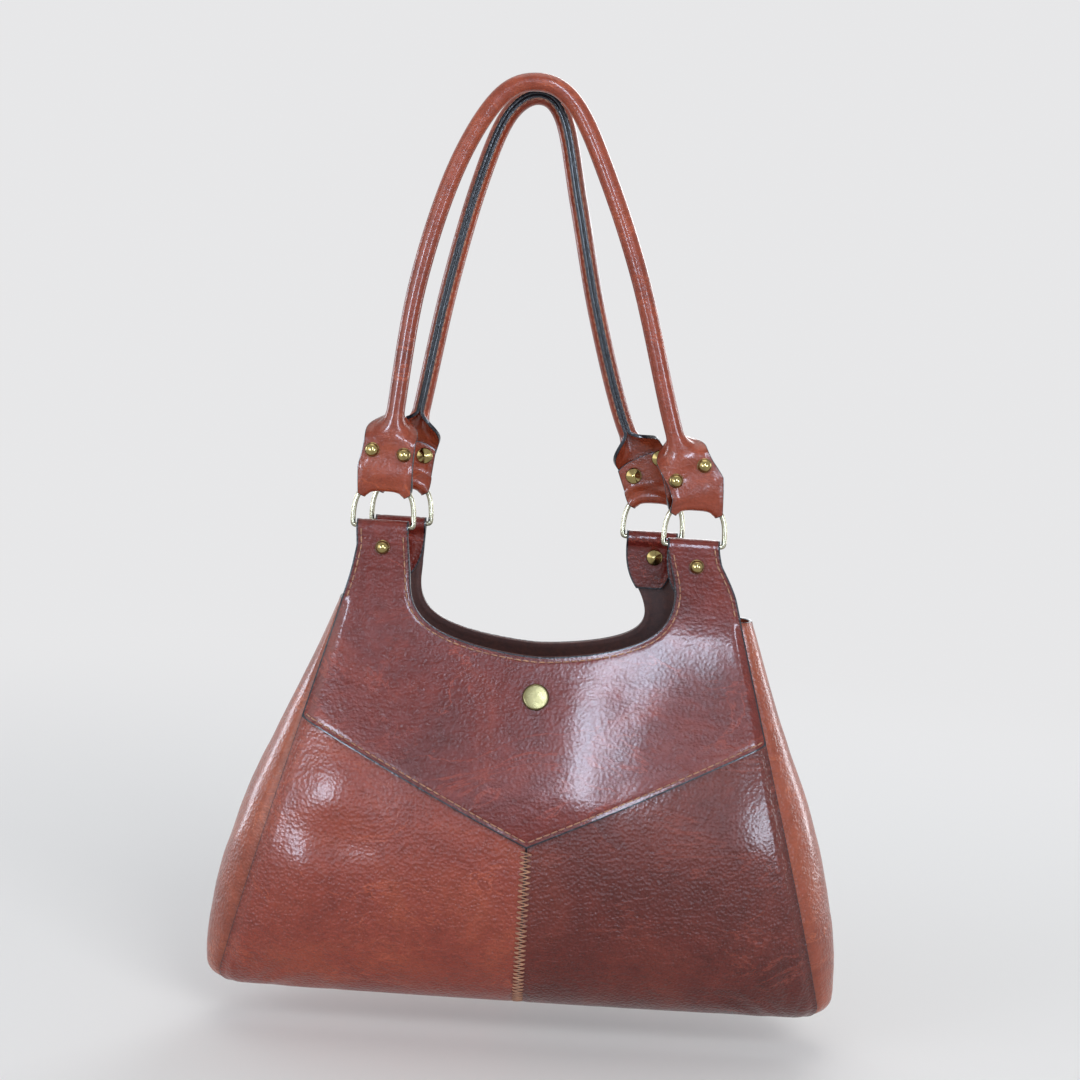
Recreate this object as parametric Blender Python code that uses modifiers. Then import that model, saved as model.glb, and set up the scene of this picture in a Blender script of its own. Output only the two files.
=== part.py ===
"""Leather shoulder bag of hobo shape, hung by its two rolled handles.

Metres, +Z up, front towards -Y. The origin is the point under the tops of the handles where the bag hangs.
Bag pieces are modelled about the middle of the line through the tops of the ears: x across, y through,
and a drop measured down from that line.
"""

import math

import bpy
import bmesh
import numpy as np
from mathutils import Matrix, Vector

# Overall sizes
EAR_TOP_DROP = 0.204
BAG_OFFSET_X = 0.0163
BODY_HEIGHT = 0.241
SIDE_SLOPE = 0.272
CORNER_RADIUS = 0.012

# Leather
LEATHER = 0.0016
FACING_LEATHER = 0.0010
FIT_GAP = 0.0003

# Ears, which fold over the bars of the rings
EAR_CENTRE_X = 0.0775
EAR_WIDTH = 0.0252
EAR_HALF_DEPTH = 0.0130
EAR_STRAIGHT = 0.012
EAR_LOOP_RADIUS = 0.0024
EAR_FLAP_LENGTH = 0.029
EAR_FLAP_SETTLE = 0.005
EAR_FLAP_TAPER = 0.5
EAR_RIVET_DROP = 0.0130
EAR_PULL_LEFT = {-1: -0.0021, 1: 0.005}
EAR_PULL_RIGHT = {-1: 0.0058, 1: 0.025}
EAR_PULL_LENGTH = {-1: 0.030, 1: 0.075}

# Mouth and yoke
MOUTH_DROP = 0.061
MOUTH_CURVE_ACROSS = 1.5
MOUTH_CURVE_DOWN = 5.8
YOKE_SIDE_DROP = 0.097
YOKE_POINT_DROP = 0.149
YOKE_LAP = 0.010
FACING_TOP_DROP = 0.0095
EAR_FOOT_SHARE = 0.70

# Depth of the body: half-depths at the centre line and at the side seams
SWELL_START_DROP = 0.020
BELLY_DROP = 0.165
BELLY_HALF_DEPTH = 0.046
SEAM_HALF_DEPTH = 0.034
CROSS_FULLNESS = 2.4
BOTTOM_SEAM_HALF_GAP = 0.0003
CORNER_HALF_DEPTH = 0.0025

# Gussets
GUSSET_TOP_DROP = 0.040
GUSSET_FOOT_RISE = 0.0024
GUSSET_TOP_BULGE = 0.006
GUSSET_BULGE = 0.018

# Rings
WIRE_RADIUS = 0.00125
RING_WIDTH = 0.0320
RING_HEIGHT = 0.0230
RING_ROUNDNESS = 3.2
BAR_TOP_CLEARANCE = 0.0004

# Handle straps, cut flat and rolled between their tabs
STRAP_WIDTH = 0.031
TAB_FOLD_WIDTH = 0.0282
TAB_WIDTH = 0.0250
TAB_LOOP_RADIUS = 0.00235
TAB_WIRE_CLEARANCE = 0.0006
TAB_BACK_LENGTH = 0.0206
TAB_STRAIGHT = 0.007
TAB_CLOSE = 0.0072
TAB_END_TAPER = 0.85
TAB_END_ROUND = 0.1
ROLL_START = 0.0206
ROLL_END = 0.0365
ROLL_MARGIN = 0.004
LEAN_REACH = 0.030
TUBE_MID_RADIUS = 0.0036
TUBE_WRAP_ANGLE = math.radians(150)
FLANGE_GAP = 0.0003
CORE_RADIUS = 0.0018
CORE_START = 0.046
HANDLE_RIVET_RISE = 0.0156
HANDLE_RIVET_SPACING = 0.0155

# The handles' courses between their tabs, from the hanging point, at the outer face of the strap
FRONT_COURSE = ((-0.0605, -0.156), (-0.053, -0.092), (-0.038, -0.036), (-0.019, -0.0002), (0.0, 0.0087),
                (0.0175, -0.0005), (0.0345, -0.032), (0.0543, -0.082), (0.0752, -0.153))
BACK_COURSE = ((-0.050, -0.156), (-0.0387, -0.091), (-0.0265, -0.039), (-0.0145, -0.006), (0.0, 0.0045),
               (0.0125, -0.006), (0.0225, -0.047), (0.0350, -0.100), (0.052, -0.153))

# Rivets and snap
RIVET_HEAD_RADIUS = 0.0035
RIVET_HEAD_HEIGHT = 0.0034
RIVET_SHANK_RADIUS = 0.0013
RIVET_BACK_RADIUS = 0.0040
RIVET_BACK_HEIGHT = 0.0012
SNAP_DROP = 0.080
SNAP_CAP_RADIUS = 0.0065
SNAP_CAP_HEIGHT = 0.0026
SNAP_SHANK_RADIUS = 0.0018
SNAP_SOCKET_RADIUS = 0.0058
SNAP_SOCKET_HEIGHT = 0.0034
SNAP_BORE_RADIUS = 0.0024
SNAP_STUD_RADIUS = 0.0020
SNAP_STUD_HEIGHT = 0.0038

# Fineness of the meshes
MOUTH_COLUMNS = 16
EAR_COLUMNS = 3
YOKE_ROWS = 10
FACING_ROWS = 5
FOLD_STEPS = 5
FLAP_ROWS = 5
PANEL_COLUMNS = 7
PANEL_UPPER_ROWS = 3
PANEL_LOWER_ROWS = 7
GUSSET_COLUMNS = 6
GUSSET_ROWS = 12
RING_ARC_STEPS = 12
COURSE_STEPS = 28
TAB_ROWS = 7
WRAP_STEPS = 4
ROLL_ROWS = 6
TURN_STEPS = 10
DOME_STEPS = 3
WIRE_STEPS = 2
ARCH_STEPS = 400
CURVE_STEPS = 24
PATH_STEPS = 240
SECTION_STEPS = 60
WELD_DISTANCE = 1e-6

# Derived places
EAR_OUTER_X = EAR_CENTRE_X + EAR_WIDTH / 2
EAR_INNER_X = EAR_CENTRE_X - EAR_WIDTH / 2
YOKE_OFFSET = LEATHER + FIT_GAP
EAR_FOLD_RADIUS = EAR_LOOP_RADIUS + LEATHER
RING_Y = EAR_HALF_DEPTH + YOKE_OFFSET - EAR_FOLD_RADIUS
BAR_DROP = LEATHER + BAR_TOP_CLEARANCE + WIRE_RADIUS
RING_HALF_WIDTH = RING_WIDTH / 2 - WIRE_RADIUS
RING_RISE = RING_HEIGHT - 2 * WIRE_RADIUS
TAB_FOLD_RADIUS = TAB_LOOP_RADIUS + LEATHER / 2
TAB_LOOP_LIFT = TAB_LOOP_RADIUS - WIRE_RADIUS - TAB_WIRE_CLEARANCE
STRAP_Y = RING_Y + TAB_FOLD_RADIUS
ROLLED = ROLL_END + ROLL_MARGIN - TAB_STRAIGHT
DRILL_LENGTH = 2 * EAR_HALF_DEPTH
FLANGE_HALF_GAP = (LEATHER + FLANGE_GAP) / 2
SIN_WRAP = math.sin(TUBE_WRAP_ANGLE)
TUBE_RETURN_RADIUS = (TUBE_MID_RADIUS * SIN_WRAP - FLANGE_HALF_GAP) / (1 - SIN_WRAP)
TUBE_WRAP = TUBE_MID_RADIUS * TUBE_WRAP_ANGLE
TUBE_RETURN = TUBE_WRAP + TUBE_RETURN_RADIUS * (TUBE_WRAP_ANGLE - math.pi / 2)

FRONT, BACK = -1, 1
LEFT, RIGHT = -1, 1
FACE_NAMES = {FRONT: "front", BACK: "back"}
SIDE_NAMES = {LEFT: "left", RIGHT: "right"}

for old in list(bpy.data.objects):
    bpy.data.objects.remove(old, do_unlink=True)

parts = bpy.data.collections.new("hobo_bag")
cutters = bpy.data.collections.new("hobo_bag_cutters")
bpy.context.scene.collection.children.link(parts)
bpy.context.scene.collection.children.link(cutters)
bag = bpy.data.objects.new("bag_middle", None)
bag.location = (BAG_OFFSET_X, 0, -EAR_TOP_DROP)
parts.objects.link(bag)


def principled(name, colour, roughness, metallic=0.0):
    made = bpy.data.materials.new(name)
    made.use_nodes = True
    shader = made.node_tree.nodes["Principled BSDF"]
    shader.inputs["Base Color"].default_value = (*colour, 1)
    shader.inputs["Roughness"].default_value = roughness
    shader.inputs["Metallic"].default_value = metallic
    return made


def place(name, mesh, material, parent=None, collection=parts):
    made = bpy.data.objects.new(name, mesh)
    collection.objects.link(made)
    made.parent = parent
    if material:
        mesh.materials.append(material)
    return made


def sheet(name, grids, material, thickness, offset, flip=False, parent=None):
    """A leather piece: grids of points that share their edges, thickened by Solidify."""
    shape = bmesh.new()
    for grid in grids:
        rows = [[shape.verts.new(point) for point in row] for row in grid]
        for upper, lower in zip(rows, rows[1:]):
            for i in range(len(upper) - 1):
                corners = [upper[i], lower[i], lower[i + 1], upper[i + 1]]
                shape.faces.new(corners[::-1] if flip else corners)
    bmesh.ops.remove_doubles(shape, verts=shape.verts, dist=WELD_DISTANCE)
    mesh = bpy.data.meshes.new(name)
    shape.to_mesh(mesh)
    shape.free()
    mesh.shade_smooth()
    made = place(name, mesh, material, parent)
    solid = made.modifiers.new("thickness", "SOLIDIFY")
    solid.thickness = thickness
    solid.offset = offset
    return made


def drill(target, places, radius, length):
    """Round holes through a leather piece, each given by its centre and direction."""
    shape = bmesh.new()
    for centre, direction in places:
        turn = Vector((0, 0, 1)).rotation_difference(Vector(direction)).to_matrix().to_4x4()
        bmesh.ops.create_cone(shape, cap_ends=True, segments=TURN_STEPS, radius1=radius, radius2=radius,
                              depth=length, matrix=Matrix.Translation(centre) @ turn)
    mesh = bpy.data.meshes.new(target.name + "_holes")
    shape.to_mesh(mesh)
    shape.free()
    cutter = place(mesh.name, mesh, None, target.parent, cutters)
    cutter.hide_render = True
    cutter.display_type = "WIRE"
    cut = target.modifiers.new("holes", "BOOLEAN")
    cut.operation = "DIFFERENCE"
    cut.object = cutter


def turned(name, profile, material, centre, direction, parent):
    """A round piece from its outline of radius and height, top to bottom, standing along direction."""
    mesh = bpy.data.meshes.new(name)
    edges = [(i, i + 1) for i in range(len(profile) - 1)]
    mesh.from_pydata([(radius, 0, height) for radius, height in profile], edges, [])
    made = place(name, mesh, material, parent)
    made.location = centre
    made.rotation_mode = "QUATERNION"
    made.rotation_quaternion = Vector((0, 0, 1)).rotation_difference(Vector(direction))
    spin = made.modifiers.new("turn", "SCREW")
    spin.steps = TURN_STEPS
    spin.render_steps = TURN_STEPS
    spin.use_merge_vertices = True
    spin.merge_threshold = WELD_DISTANCE
    spin.use_normal_calculate = False
    spin.use_smooth_shade = True
    return made


def dome(radius, height, base):
    """Outline of a dome from its crown down to its rim."""
    turns = [math.pi / 2 * k / DOME_STEPS for k in range(DOME_STEPS + 1)]
    return [(radius * math.sin(turn), base + height * math.cos(turn)) for turn in turns]


def half_width(drop):
    """Distance from the centre line to a side seam."""
    width = EAR_OUTER_X + SIDE_SLOPE * max(0.0, drop - EAR_STRAIGHT)
    into = max(0.0, CORNER_RADIUS - (BODY_HEIGHT - drop))
    return width - (CORNER_RADIUS - math.sqrt(max(0.0, CORNER_RADIUS**2 - into**2)))


def swell(drop, start, peak, least):
    """Half-depth that grows to its peak at the belly and closes round to the bottom."""
    if drop <= SWELL_START_DROP:
        return start
    if drop <= BELLY_DROP:
        share = (drop - SWELL_START_DROP) / (BELLY_DROP - SWELL_START_DROP)
        return start + (peak - start) * math.sin(math.pi / 2 * share) ** 2
    share = min(1.0, (drop - BELLY_DROP) / (BODY_HEIGHT - BELLY_DROP))
    return max(least, peak * math.sqrt(1 - share**2))


def seam_depth(drop):
    return swell(drop, EAR_HALF_DEPTH, SEAM_HALF_DEPTH, CORNER_HALF_DEPTH)


def wall_depth(x, drop):
    """Half-depth of the front or back wall at a place."""
    edge = seam_depth(drop)
    centre = swell(drop, EAR_HALF_DEPTH, BELLY_HALF_DEPTH, BOTTOM_SEAM_HALF_GAP)
    across = min(1.0, abs(x) / half_width(drop))
    return edge + (centre - edge) * (1 - across**CROSS_FULLNESS)


def ear_pull(face, side, drop, x=EAR_INNER_X):
    """How far an ear is drawn sideways by its handle, where a positive pull is towards the middle."""
    pull = EAR_PULL_LEFT[face] if side == LEFT else EAR_PULL_RIGHT[face]
    share = max(0.0, 1 - drop / EAR_PULL_LENGTH[face])
    across = min(1.0, x / EAR_INNER_X) ** 2
    return -side * pull * across * share * share * (3 - 2 * share)


def wall_point(face, side, x, drop, offset):
    """A point of a wall, offset outwards from the lower panels' outer face; x counts out from the middle."""
    depth = wall_depth(x, drop) + offset
    return (side * x + ear_pull(face, side, drop, x), face * depth, -drop)


def wall_normal(face, x, drop):
    down = (wall_depth(x, drop + LEATHER) - wall_depth(x, drop)) / LEATHER
    return Vector((0, face, down)).normalized()


def outward_columns(side, columns):
    """Columns counted out from the middle, ordered from left to right."""
    return columns if side == RIGHT else columns[::-1]


def mouth_edge():
    """Evenly spaced (x, drop) points of the mouth's edge from the middle up to the ear's inner corner."""
    fine = []
    for k in range(ARCH_STEPS + 1):
        turn = math.pi / 2 * k / ARCH_STEPS
        x = EAR_INNER_X * math.sin(turn) ** (2 / MOUTH_CURVE_ACROSS)
        rise = 1 - max(0.0, math.cos(turn)) ** (2 / MOUTH_CURVE_DOWN)
        fine.append((x, MOUTH_DROP - (MOUTH_DROP - EAR_FOLD_RADIUS) * rise))
    fine = np.array(fine)
    lengths = lengths_along(fine)
    return [point_at(fine, lengths, stop) for stop in np.linspace(0, lengths[-1], MOUTH_COLUMNS + 1)]


def upper_columns():
    """Top and foot (x, drop) of each column of the yoke, and its share across the ear."""
    tops = [(x, drop, 0.0) for x, drop in mouth_edge()]
    for k in range(1, EAR_COLUMNS + 1):
        across = k / EAR_COLUMNS
        tops.append((EAR_INNER_X + EAR_WIDTH * across, EAR_FOLD_RADIUS, across))
    columns = []
    for k, (top_x, top_drop, across) in enumerate(tops):
        foot = EAR_FOOT_SHARE * min(1.0, k / MOUTH_COLUMNS) + (1 - EAR_FOOT_SHARE) * across
        foot_drop = YOKE_POINT_DROP + (YOKE_SIDE_DROP - YOKE_POINT_DROP) * foot
        columns.append((top_x, top_drop, foot * half_width(YOKE_SIDE_DROP), foot_drop, across))
    return columns


def upper_grid(face, side, start, rows, offset):
    """Rows of the wall on one side of the middle, from the mouth down; the ears begin at the given drop."""
    foot_x = half_width(YOKE_SIDE_DROP)
    grid = []
    for r in range(rows + 1):
        share = r / YOKE_ROWS
        row = []
        for top_x, top_drop, column_foot_x, foot_drop, across in upper_columns():
            drop = top_drop + (foot_drop - top_drop) * share
            down = (drop - EAR_FOLD_RADIUS) / (YOKE_SIDE_DROP - EAR_FOLD_RADIUS)
            seam = half_width(drop) - EAR_OUTER_X - (foot_x - EAR_OUTER_X) * down
            x = top_x + (column_foot_x - top_x) * share + across * seam
            row.append(wall_point(face, side, x, max(start, drop), offset))
        grid.append(outward_columns(side, row))
    return grid


def ear_grid(face, side):
    """The ear's fold over the ring's bar and the flap that comes down inside, from the ear's top row on."""
    outer = EAR_HALF_DEPTH + YOKE_OFFSET
    flap_end = EAR_HALF_DEPTH - FACING_LEATHER - FIT_GAP - LEATHER
    flap_start = outer - 2 * EAR_FOLD_RADIUS
    stations = []
    for k in range(FOLD_STEPS + 1):
        turn = math.pi * k / FOLD_STEPS
        depth = outer - EAR_FOLD_RADIUS * (1 - math.cos(turn))
        stations.append((depth, EAR_FOLD_RADIUS * (1 - math.sin(turn)), 1.0))
    for k in range(1, FLAP_ROWS + 1):
        share = k / FLAP_ROWS
        drop = EAR_FOLD_RADIUS + (EAR_FLAP_LENGTH - EAR_FOLD_RADIUS) * share
        ease = min(1.0, (drop - EAR_FOLD_RADIUS) / EAR_FLAP_SETTLE)
        ease = ease * ease * (3 - 2 * ease)
        stations.append((flap_start + (flap_end - flap_start) * ease, drop, 1 - EAR_FLAP_TAPER * share**3))
    grid = []
    for depth, drop, width in stations:
        row = []
        for k in range(EAR_COLUMNS + 1):
            x = EAR_CENTRE_X + EAR_WIDTH * width * (k / EAR_COLUMNS - 0.5)
            row.append((side * x + ear_pull(face, side, EAR_FOLD_RADIUS), face * depth, -drop))
        grid.append(outward_columns(side, row))
    return grid[::-1]


def ear_rivet_place(face, side):
    x = side * EAR_CENTRE_X + ear_pull(face, side, EAR_RIVET_DROP)
    return (x, face * EAR_HALF_DEPTH, -EAR_RIVET_DROP)


def snap_place(face):
    return Vector(wall_point(face, RIGHT, 0.0, SNAP_DROP, 0.0))


def make_upper(face, leather, lining):
    """Yoke and facing of one wall, with the holes of their rivets and snap."""
    name = FACE_NAMES[face]
    flip = face == BACK
    rivets = [(ear_rivet_place(face, side), (0, 1, 0)) for side in (LEFT, RIGHT)]
    snap = [(snap_place(face), wall_normal(face, 0.0, SNAP_DROP))]
    yoke_grids = []
    facing_grids = []
    for side in (LEFT, RIGHT):
        yoke_grids.append(upper_grid(face, side, EAR_FOLD_RADIUS, YOKE_ROWS, YOKE_OFFSET))
        yoke_grids.append(ear_grid(face, side))
        facing_grids.append(upper_grid(face, side, FACING_TOP_DROP, FACING_ROWS, 0.0))
    yoke = sheet(name + "_yoke", yoke_grids, leather, LEATHER, -1, flip, bag)
    facing = sheet(name + "_facing", facing_grids, lining, FACING_LEATHER, -1, flip, bag)
    for made in (yoke, facing):
        drill(made, rivets, RIVET_SHANK_RADIUS + FIT_GAP, DRILL_LENGTH)
        drill(made, snap, SNAP_SHANK_RADIUS + FIT_GAP, DRILL_LENGTH)


def make_panel(face, side, material):
    """One lower panel, from under the yoke to the bottom seam."""
    grid = []
    rows = PANEL_UPPER_ROWS + PANEL_LOWER_ROWS
    for r in range(rows + 1):
        row = []
        for k in range(PANEL_COLUMNS + 1):
            share = k / PANEL_COLUMNS
            top = YOKE_POINT_DROP + (YOKE_SIDE_DROP - YOKE_POINT_DROP) * share - YOKE_LAP
            if r <= PANEL_UPPER_ROWS:
                drop = top + (BELLY_DROP - top) * r / PANEL_UPPER_ROWS
            else:
                turn = math.pi / 2 * (r - PANEL_UPPER_ROWS) / PANEL_LOWER_ROWS
                drop = BELLY_DROP + (BODY_HEIGHT - BELLY_DROP) * math.sin(turn)
            x = max(FIT_GAP, share * half_width(drop))
            row.append(wall_point(FRONT, side, x, drop, 0.0))
        grid.append([(x, -face * y, z) for x, y, z in outward_columns(side, row)])
    name = f"{FACE_NAMES[face]}_{SIDE_NAMES[side]}_panel"
    return sheet(name, [grid], material, LEATHER, -1, face == BACK, bag)


def make_gusset(side, material):
    """A lens-shaped side piece that bulges out between the side seams."""
    grid = []
    foot = BODY_HEIGHT - GUSSET_FOOT_RISE
    last_turn = math.asin((foot - BELLY_DROP) / (BODY_HEIGHT - BELLY_DROP))
    upper = GUSSET_ROWS // 2
    for r in range(GUSSET_ROWS + 1):
        if r <= upper:
            drop = GUSSET_TOP_DROP + (BELLY_DROP - GUSSET_TOP_DROP) * r / upper
        else:
            turn = last_turn * (r - upper) / (GUSSET_ROWS - upper)
            drop = BELLY_DROP + (BODY_HEIGHT - BELLY_DROP) * math.sin(turn)
        reach = seam_depth(drop) - LEATHER - FIT_GAP
        bulge = swell(drop, GUSSET_TOP_BULGE, GUSSET_BULGE, 0.0)
        row = []
        for k in range(GUSSET_COLUMNS + 1):
            across = -math.cos(math.pi * k / GUSSET_COLUMNS)
            x = half_width(drop) + bulge * (1 - across**2)
            row.append((side * x, reach * across, -drop))
        grid.append(row)
    return sheet(SIDE_NAMES[side] + "_gusset", [grid], material, LEATHER, -1, side == LEFT, bag)


def rivet_profile(stack):
    """Dome, shank and flat back of a rivet that holds leather of the given thickness below height zero."""
    back = -stack - 2 * FIT_GAP
    head = dome(RIVET_HEAD_RADIUS, RIVET_HEAD_HEIGHT, 0.0)
    return head + [(RIVET_SHANK_RADIUS, 0.0), (RIVET_SHANK_RADIUS, back), (RIVET_BACK_RADIUS, back),
                   (RIVET_BACK_RADIUS, back - RIVET_BACK_HEIGHT), (0.0, back - RIVET_BACK_HEIGHT)]


def make_ear_rivet(face, side, material):
    x, _, z = ear_rivet_place(face, side)
    head = EAR_HALF_DEPTH + YOKE_OFFSET + FIT_GAP
    stack = 2 * LEATHER + FACING_LEATHER + 2 * FIT_GAP
    name = f"{FACE_NAMES[face]}_{SIDE_NAMES[side]}_ear_rivet"
    return turned(name, rivet_profile(stack), material, (x, face * head, z), (0, face, 0), bag)


def make_snaps(brass):
    """Cap and socket on the front wall, stud and post cap on the back wall."""
    outside = YOKE_OFFSET + FIT_GAP
    inside = -FACING_LEATHER - FIT_GAP
    for face in (FRONT, BACK):
        centre = snap_place(face)
        normal = wall_normal(face, 0.0, SNAP_DROP)
        cap = dome(SNAP_CAP_RADIUS, SNAP_CAP_HEIGHT, outside)
        cap += [(SNAP_SHANK_RADIUS, outside), (SNAP_SHANK_RADIUS, inside), (0.0, inside)]
        turned(("snap_cap", "snap_post_cap")[face == BACK], cap, brass, centre, normal, bag)
        seat = inside - FIT_GAP
        plate = seat - LEATHER / 2
        if face == FRONT:
            end = seat - SNAP_SOCKET_HEIGHT
            profile = [(0.0, seat), (SNAP_SOCKET_RADIUS, seat), (SNAP_SOCKET_RADIUS, end),
                       (SNAP_BORE_RADIUS, end), (SNAP_BORE_RADIUS, plate), (0.0, plate)]
            turned("snap_socket", profile, brass, centre, normal, bag)
        else:
            tip = seat - SNAP_STUD_HEIGHT
            profile = [(0.0, seat), (SNAP_SOCKET_RADIUS, seat), (SNAP_SOCKET_RADIUS, plate),
                       (SNAP_STUD_RADIUS, plate), (SNAP_STUD_RADIUS, tip), (0.0, tip)]
            turned("snap_stud", profile, brass, centre, normal, bag)


def ring_centre(face, side):
    x = side * EAR_CENTRE_X + ear_pull(face, side, EAR_FOLD_RADIUS)
    return Vector((BAG_OFFSET_X + x, face * RING_Y, -EAR_TOP_DROP - BAR_DROP))


def arch_points(steps):
    """Points of the ring's arch from its right foot over the top to its left foot, above the bar."""
    points = []
    for k in range(steps + 1):
        turn = math.pi * k / steps
        across = math.cos(turn)
        x = RING_HALF_WIDTH * math.copysign(abs(across) ** (2 / RING_ROUNDNESS), across)
        points.append((x, RING_RISE * abs(math.sin(turn)) ** (2 / RING_ROUNDNESS)))
    return points


def lengths_along(points):
    return np.concatenate([[0.0], np.cumsum(np.linalg.norm(np.diff(points, axis=0), axis=1))])


def point_at(points, lengths, stop):
    return np.array([np.interp(stop, lengths, points[:, i]) for i in range(2)])


def arch_place(distance):
    """Point of the arch at a distance along it from its top, and the direction out of the ring there."""
    points = np.array(arch_points(ARCH_STEPS))[::-1]
    lengths = lengths_along(points)
    at = lengths[-1] / 2 + distance
    step = lengths[-1] / ARCH_STEPS
    behind = point_at(points, lengths, at - step)
    ahead = point_at(points, lengths, at + step)
    along = (ahead - behind) / np.linalg.norm(ahead - behind)
    return (behind + ahead) / 2, np.array([-along[1], along[0]])


def make_ring(face, side, material):
    """A D-ring: a straight bar in the ear's loop and an arch in the handle's tab."""
    points = [(x, 0.0, z) for x, z in arch_points(RING_ARC_STEPS)]
    name = f"{FACE_NAMES[face]}_{SIDE_NAMES[side]}_ring"
    curve = bpy.data.curves.new(name, "CURVE")
    curve.dimensions = "3D"
    curve.bevel_depth = WIRE_RADIUS
    curve.bevel_resolution = WIRE_STEPS
    spline = curve.splines.new("POLY")
    spline.points.add(len(points) - 1)
    for point, place_at in zip(spline.points, points):
        point.co = (*place_at, 1)
    spline.use_cyclic_u = True
    made = place(name, curve, material)
    made.location = ring_centre(face, side)
    return made


def smooth_course(points):
    """Evenly stepped points of a smooth curve through the given ones."""
    fixed = [np.array(point) for point in points]
    fixed = [2 * fixed[0] - fixed[1]] + fixed + [2 * fixed[-1] - fixed[-2]]
    fine = []
    for a, b, c, d in zip(fixed, fixed[1:], fixed[2:], fixed[3:]):
        for t in np.linspace(0, 1, CURVE_STEPS, endpoint=False):
            fine.append(0.5 * (2 * b + (c - a) * t + (2 * a - 5 * b + 4 * c - d) * t**2
                               + (3 * b - a - 3 * c + d) * t**3))
    fine = np.array(fine + [fixed[-2]])
    lengths = lengths_along(fine)
    return np.array([point_at(fine, lengths, stop) for stop in np.linspace(0, lengths[-1], PATH_STEPS + 1)])


def strap_columns():
    """Distances across the strap from its middle to one edge."""
    half = [TUBE_WRAP * k / WRAP_STEPS for k in range(WRAP_STEPS + 1)]
    half += [TUBE_RETURN, STRAP_WIDTH / 2]
    return [-distance for distance in half[:0:-1]] + half


def rolled_section(distance, roll):
    """Sideways and inward place of a point of the strap, rolled up by the given share."""
    side = inward = 0.0
    step = abs(distance) / SECTION_STEPS
    for k in range(SECTION_STEPS):
        at = (k + 0.5) * step
        if at <= TUBE_WRAP:
            angle = at / TUBE_MID_RADIUS
        elif at <= TUBE_RETURN:
            angle = TUBE_WRAP_ANGLE - (at - TUBE_WRAP) / TUBE_RETURN_RADIUS
        else:
            angle = math.pi / 2
        side += math.cos(angle * roll) * step
        inward += math.sin(angle * roll) * step
    return math.copysign(side, distance), inward


def strap_row(face, centre, along, roll, columns, squeeze):
    """One row of the strap across its course."""
    across = np.array([along[1], -along[0]])
    row = []
    for distance in columns:
        side, inward = rolled_section(distance * squeeze, roll)
        x, z = centre + across * side
        row.append((x, face * (STRAP_Y - inward), z))
    return row


def tab_rows(face, side, columns, tip):
    """Rows of a tab from the end of its turned-back layer, round the ring's arch and up to the roll."""
    ring = ring_centre(face, side)
    fold = TAB_FOLD_WIDTH / STRAP_WIDTH
    base = np.array([ring.x, ring.z])
    loops = []
    for column in columns:
        place_at, outward = arch_place(column * fold)
        loops.append((base + place_at + outward * TAB_LOOP_LIFT, outward))
    top = np.array([ring.x, ring.z + RING_RISE + TAB_LOOP_LIFT])
    along = (tip - top) / np.linalg.norm(tip - top)
    across = np.array([along[1], -along[0]])
    rows = []
    for k in range(TAB_ROWS + 1):
        share = 1 - k / TAB_ROWS
        ease = min(1.0, share * TAB_BACK_LENGTH / TAB_CLOSE)
        depth = RING_Y - TAB_FOLD_RADIUS + ease * (2 * TAB_FOLD_RADIUS - LEATHER - FIT_GAP)
        row = []
        for column, (loop, _) in zip(columns, loops):
            edge = abs(2 * column / STRAP_WIDTH)
            reach = TAB_BACK_LENGTH * (1 - TAB_END_ROUND * edge**3)
            end = top + along * reach + across * column * fold * TAB_END_TAPER
            x, z = loop + (end - loop) * share
            row.append((x, face * depth, z))
        rows.append(row)
    for k in range(1, FOLD_STEPS + 1):
        turn = math.pi * k / FOLD_STEPS
        row = []
        for loop, outward in loops:
            x, z = loop - outward * TAB_FOLD_RADIUS * math.sin(turn)
            row.append((x, face * (RING_Y - TAB_FOLD_RADIUS * math.cos(turn)), z))
        rows.append(row)
    return rows


def handle_course(face):
    """Course of a handle from just above its left fold to just above its right one."""
    ends = []
    for side in (LEFT, RIGHT):
        ring = ring_centre(face, side)
        ends.append((ring.x, ring.z + RING_RISE + TAB_LOOP_LIFT + TAB_STRAIGHT))
    return smooth_course([ends[0], *(FRONT_COURSE if face == FRONT else BACK_COURSE), ends[1]])


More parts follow.
